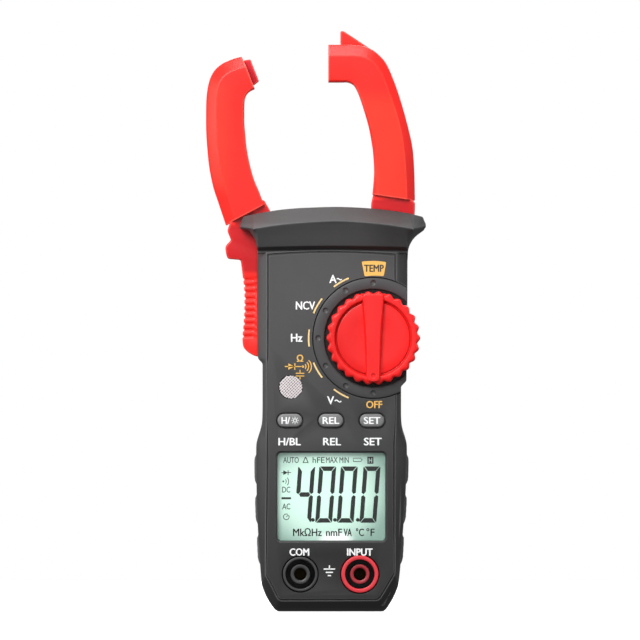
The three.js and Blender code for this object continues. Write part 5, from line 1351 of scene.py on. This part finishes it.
    # dark box with the letter left open: two side bars, the middle stem gaps and the four quarters
    flat_mesh("lcd_hold", [[(hx - w, hz - h), (hx - 0.56, hz - h), (hx - 0.56, hz + h), (hx - w, hz + h)], [(hx + 0.56, hz - h), (hx + w, hz - h), (hx + w, hz + h), (hx + 0.56, hz + h)],
                           [(hx - 0.56, hz + 0.78), (hx + 0.56, hz + 0.78), (hx + 0.56, hz + h), (hx - 0.56, hz + h)], [(hx - 0.56, hz - h), (hx + 0.56, hz - h), (hx + 0.56, hz - 0.78), (hx - 0.56, hz - 0.78)],
                           [(hx - 0.28, hz + 0.15), (hx + 0.28, hz + 0.15), (hx + 0.28, hz + 0.78), (hx - 0.28, hz + 0.78)], [(hx - 0.28, hz - 0.78), (hx + 0.28, hz - 0.78), (hx + 0.28, hz - 0.15), (hx - 0.28, hz - 0.15)]], Y, SEG, slot=S)
    T("lcd_dc", "DC", 286.3, 489.6, 1.9, width=2.7, bold=0.03)
    T("lcd_ac", "AC", 286.3, 506.4, 1.9, width=2.7, bold=0.03)
    mx, mz = px(286.3, 498.2)
    dx, dz = px(286.3, 472.6)
    cx, cz = px(286.3, 516.8)
    wx, wz = px(286.3, 481.4)
    flat_mesh("lcd_left_marks", [stroke([(mx - 1.6, mz), (mx + 1.6, mz)], 0.7), [(dx - 1.0, dz - 0.8), (dx + 0.5, dz), (dx - 1.0, dz + 0.8)], stroke([(dx + 0.6, dz - 0.8), (dx + 0.6, dz + 0.8)], 0.28),
                                 stroke([(dx - 1.6, dz), (dx + 1.6, dz)], 0.24), stroke(arc(cx, cz, 0.95, 60, 390, 24), 0.24), stroke([(cx, cz), (cx + 0.7, cz + 0.6)], 0.24),
                                 circle(wx - 1.0, wz, 0.3, 12), stroke(arc(wx - 1.0, wz, 1.0, -45, 45, 8), 0.24), stroke(arc(wx - 1.0, wz, 1.8, -45, 45, 8), 0.24)], Y, SEG_SOFT, slot=S)
    for nm, tx, x0, x1 in (("lcd_units_left", "MkΩHz", 293, 321.8), ("lcd_units_mid", "nmF", 326, 342), ("lcd_units_power", "VA", 343.6, 351.8), ("lcd_units_c", "°C", 355.8, 364), ("lcd_units_f", "°F", 366.3, 374.5)):
        T(nm, tx, (x0 + x1) / 2, 532.3, 2.4, SEG, width=(x1 - x0) / 3, bold=0.07)


# ------------------------------------------------------------------ carried-over nodes get their materials here
CARRIED = {
    STEEL: ["jaw_pivot_pin", "jaw_return_spring", "detent_spring", "battery_bridge_contact", "battery_contact_positive", "battery_spring_negative"],
    IRON: ["fixed_core", "moving_core"], COPPER: ["fixed_coil", "moving_coil"],
    NYLON: ["rotary_contact_disc", "lcd_frame", "backlight_panel"], BRASS: ["wiper_contact", "ncv_sensor_plate"],
    BLACK_RUBBER: ["keypad", "zebra_connector"], BOARD: ["main_pcb"], BLACK: ["buzzer"], CERAMIC: ["thermistor"], CELL: ["battery_left", "battery_right"],
}
for mat, names in CARRIED.items():
    for nm in names:
        o = NODES[nm]
        o.data.materials.clear()
        o.data.materials.append(mat)
        edges_rounded(o, 0.12, 2, 40)

make_front()
make_rear()
make_pads()
make_door()
make_screws()
make_jaws()
make_knob()
make_keys()
make_jacks()
make_grille()
make_legends()
make_display()

# ------------------------------------------------------------------ stage
fl = bpy.data.materials.new("floor_pale")
fl.use_nodes = True
fb = fl.node_tree.nodes["Principled BSDF"]
fb.inputs["Base Color"].default_value = (0.6, 0.6, 0.6, 1)
fb.inputs["Roughness"].default_value = 0.9
fb.inputs["Specular IOR Level"].default_value = 0.0
fb.inputs["Emission Color"].default_value = (1, 1, 1, 1)
fb.inputs["Emission Strength"].default_value = 0.85
me = bpy.data.meshes.new("floor")
me.from_pydata([(-0.7, -0.7, 0), (0.7, -0.7, 0), (0.7, 0.7, 0), (-0.7, 0.7, 0)], [], [(0, 1, 2, 3)])
me.materials.append(fl)
floor = bpy.data.objects.new("floor", me)
COL.objects.link(floor)
floor.location = (0, 0, -0.0002)
floor.visible_diffuse = False
floor.visible_glossy = False
floor.visible_shadow = False

w = bpy.data.worlds.new("studio")
scene.world = w
w.use_nodes = True
nt = w.node_tree
bg = nt.nodes["Background"]
bg.inputs["Color"].default_value = (1, 1, 1, 1)
geo = N(nt, "ShaderNodeTexCoord")
sepw = N(nt, "ShaderNodeSeparateXYZ")
nt.links.new(geo.outputs["Generated"], sepw.inputs["Vector"])
mrw = N(nt, "ShaderNodeMapRange")
mrw.inputs["From Min"].default_value, mrw.inputs["From Max"].default_value = -0.35, 0.8
mrw.inputs["To Min"].default_value, mrw.inputs["To Max"].default_value = 0.24, 0.42
nt.links.new(sepw.outputs["Z"], mrw.inputs["Value"])
nt.links.new(mrw.outputs["Result"], bg.inputs["Strength"])
bg2 = N(nt, "ShaderNodeBackground")
bg2.inputs["Color"].default_value = (1, 1, 1, 1)
bg2.inputs["Strength"].default_value = 1.0
lp = N(nt, "ShaderNodeLightPath")
mx = N(nt, "ShaderNodeMixShader")
nt.links.new(lp.outputs["Is Camera Ray"], mx.inputs[0])
nt.links.new(bg.outputs[0], mx.inputs[1])
nt.links.new(bg2.outputs[0], mx.inputs[2])
nt.links.new(mx.outputs[0], nt.nodes["World Output"].inputs["Surface"])


def area(name, loc, aim, size, power, colour=(1, 1, 1), size_y=None):
    ld = bpy.data.lights.new(name, "AREA")
    ld.shape = "RECTANGLE"
    ld.size, ld.size_y = size, size_y or size
    ld.energy = power
    ld.color = colour
    o = bpy.data.objects.new(name, ld)
    COL.objects.link(o)
    o.location = loc
    o.rotation_euler = (Vector(aim) - Vector(loc)).to_track_quat("-Z", "Y").to_euler()
    o.visible_camera = False
    return o


area("key", (-0.32, -0.55, 0.52), (0, 0, 0.13), 0.36, 6.0)
area("top", (0.0, -0.12, 0.80), (0, 0, 0.10), 0.5, 5.0)
area("front", (0.10, -1.40, 0.25), (0, 0, 0.10), 0.8, 2.4)
area("left_side", (-0.80, -0.10, 0.22), (0, 0, 0.10), 0.4, 2.2)
area("right_side", (0.80, -0.25, 0.25), (0, 0, 0.10), 0.4, 1.5)
area("back", (0.15, 0.95, 0.55), (0, 0, 0.10), 0.8, 5.0)

cam = bpy.data.cameras.new("camera")
cam.sensor_width = 36.0
DIST = 6.0
cam.lens = 36.0 * DIST / 0.21333
co = bpy.data.objects.new("camera", cam)
COL.objects.link(co)
CX, CZ = (320 - 331.5) / 3 * MM, (611.5 - 320) / 3 * MM
co.location = (CX, -0.0105 - DIST, CZ)
co.rotation_euler = (math.pi / 2, 0, 0)
cam.clip_start, cam.clip_end = 0.1, 60
scene.camera = co

bpy.context.view_layer.update()
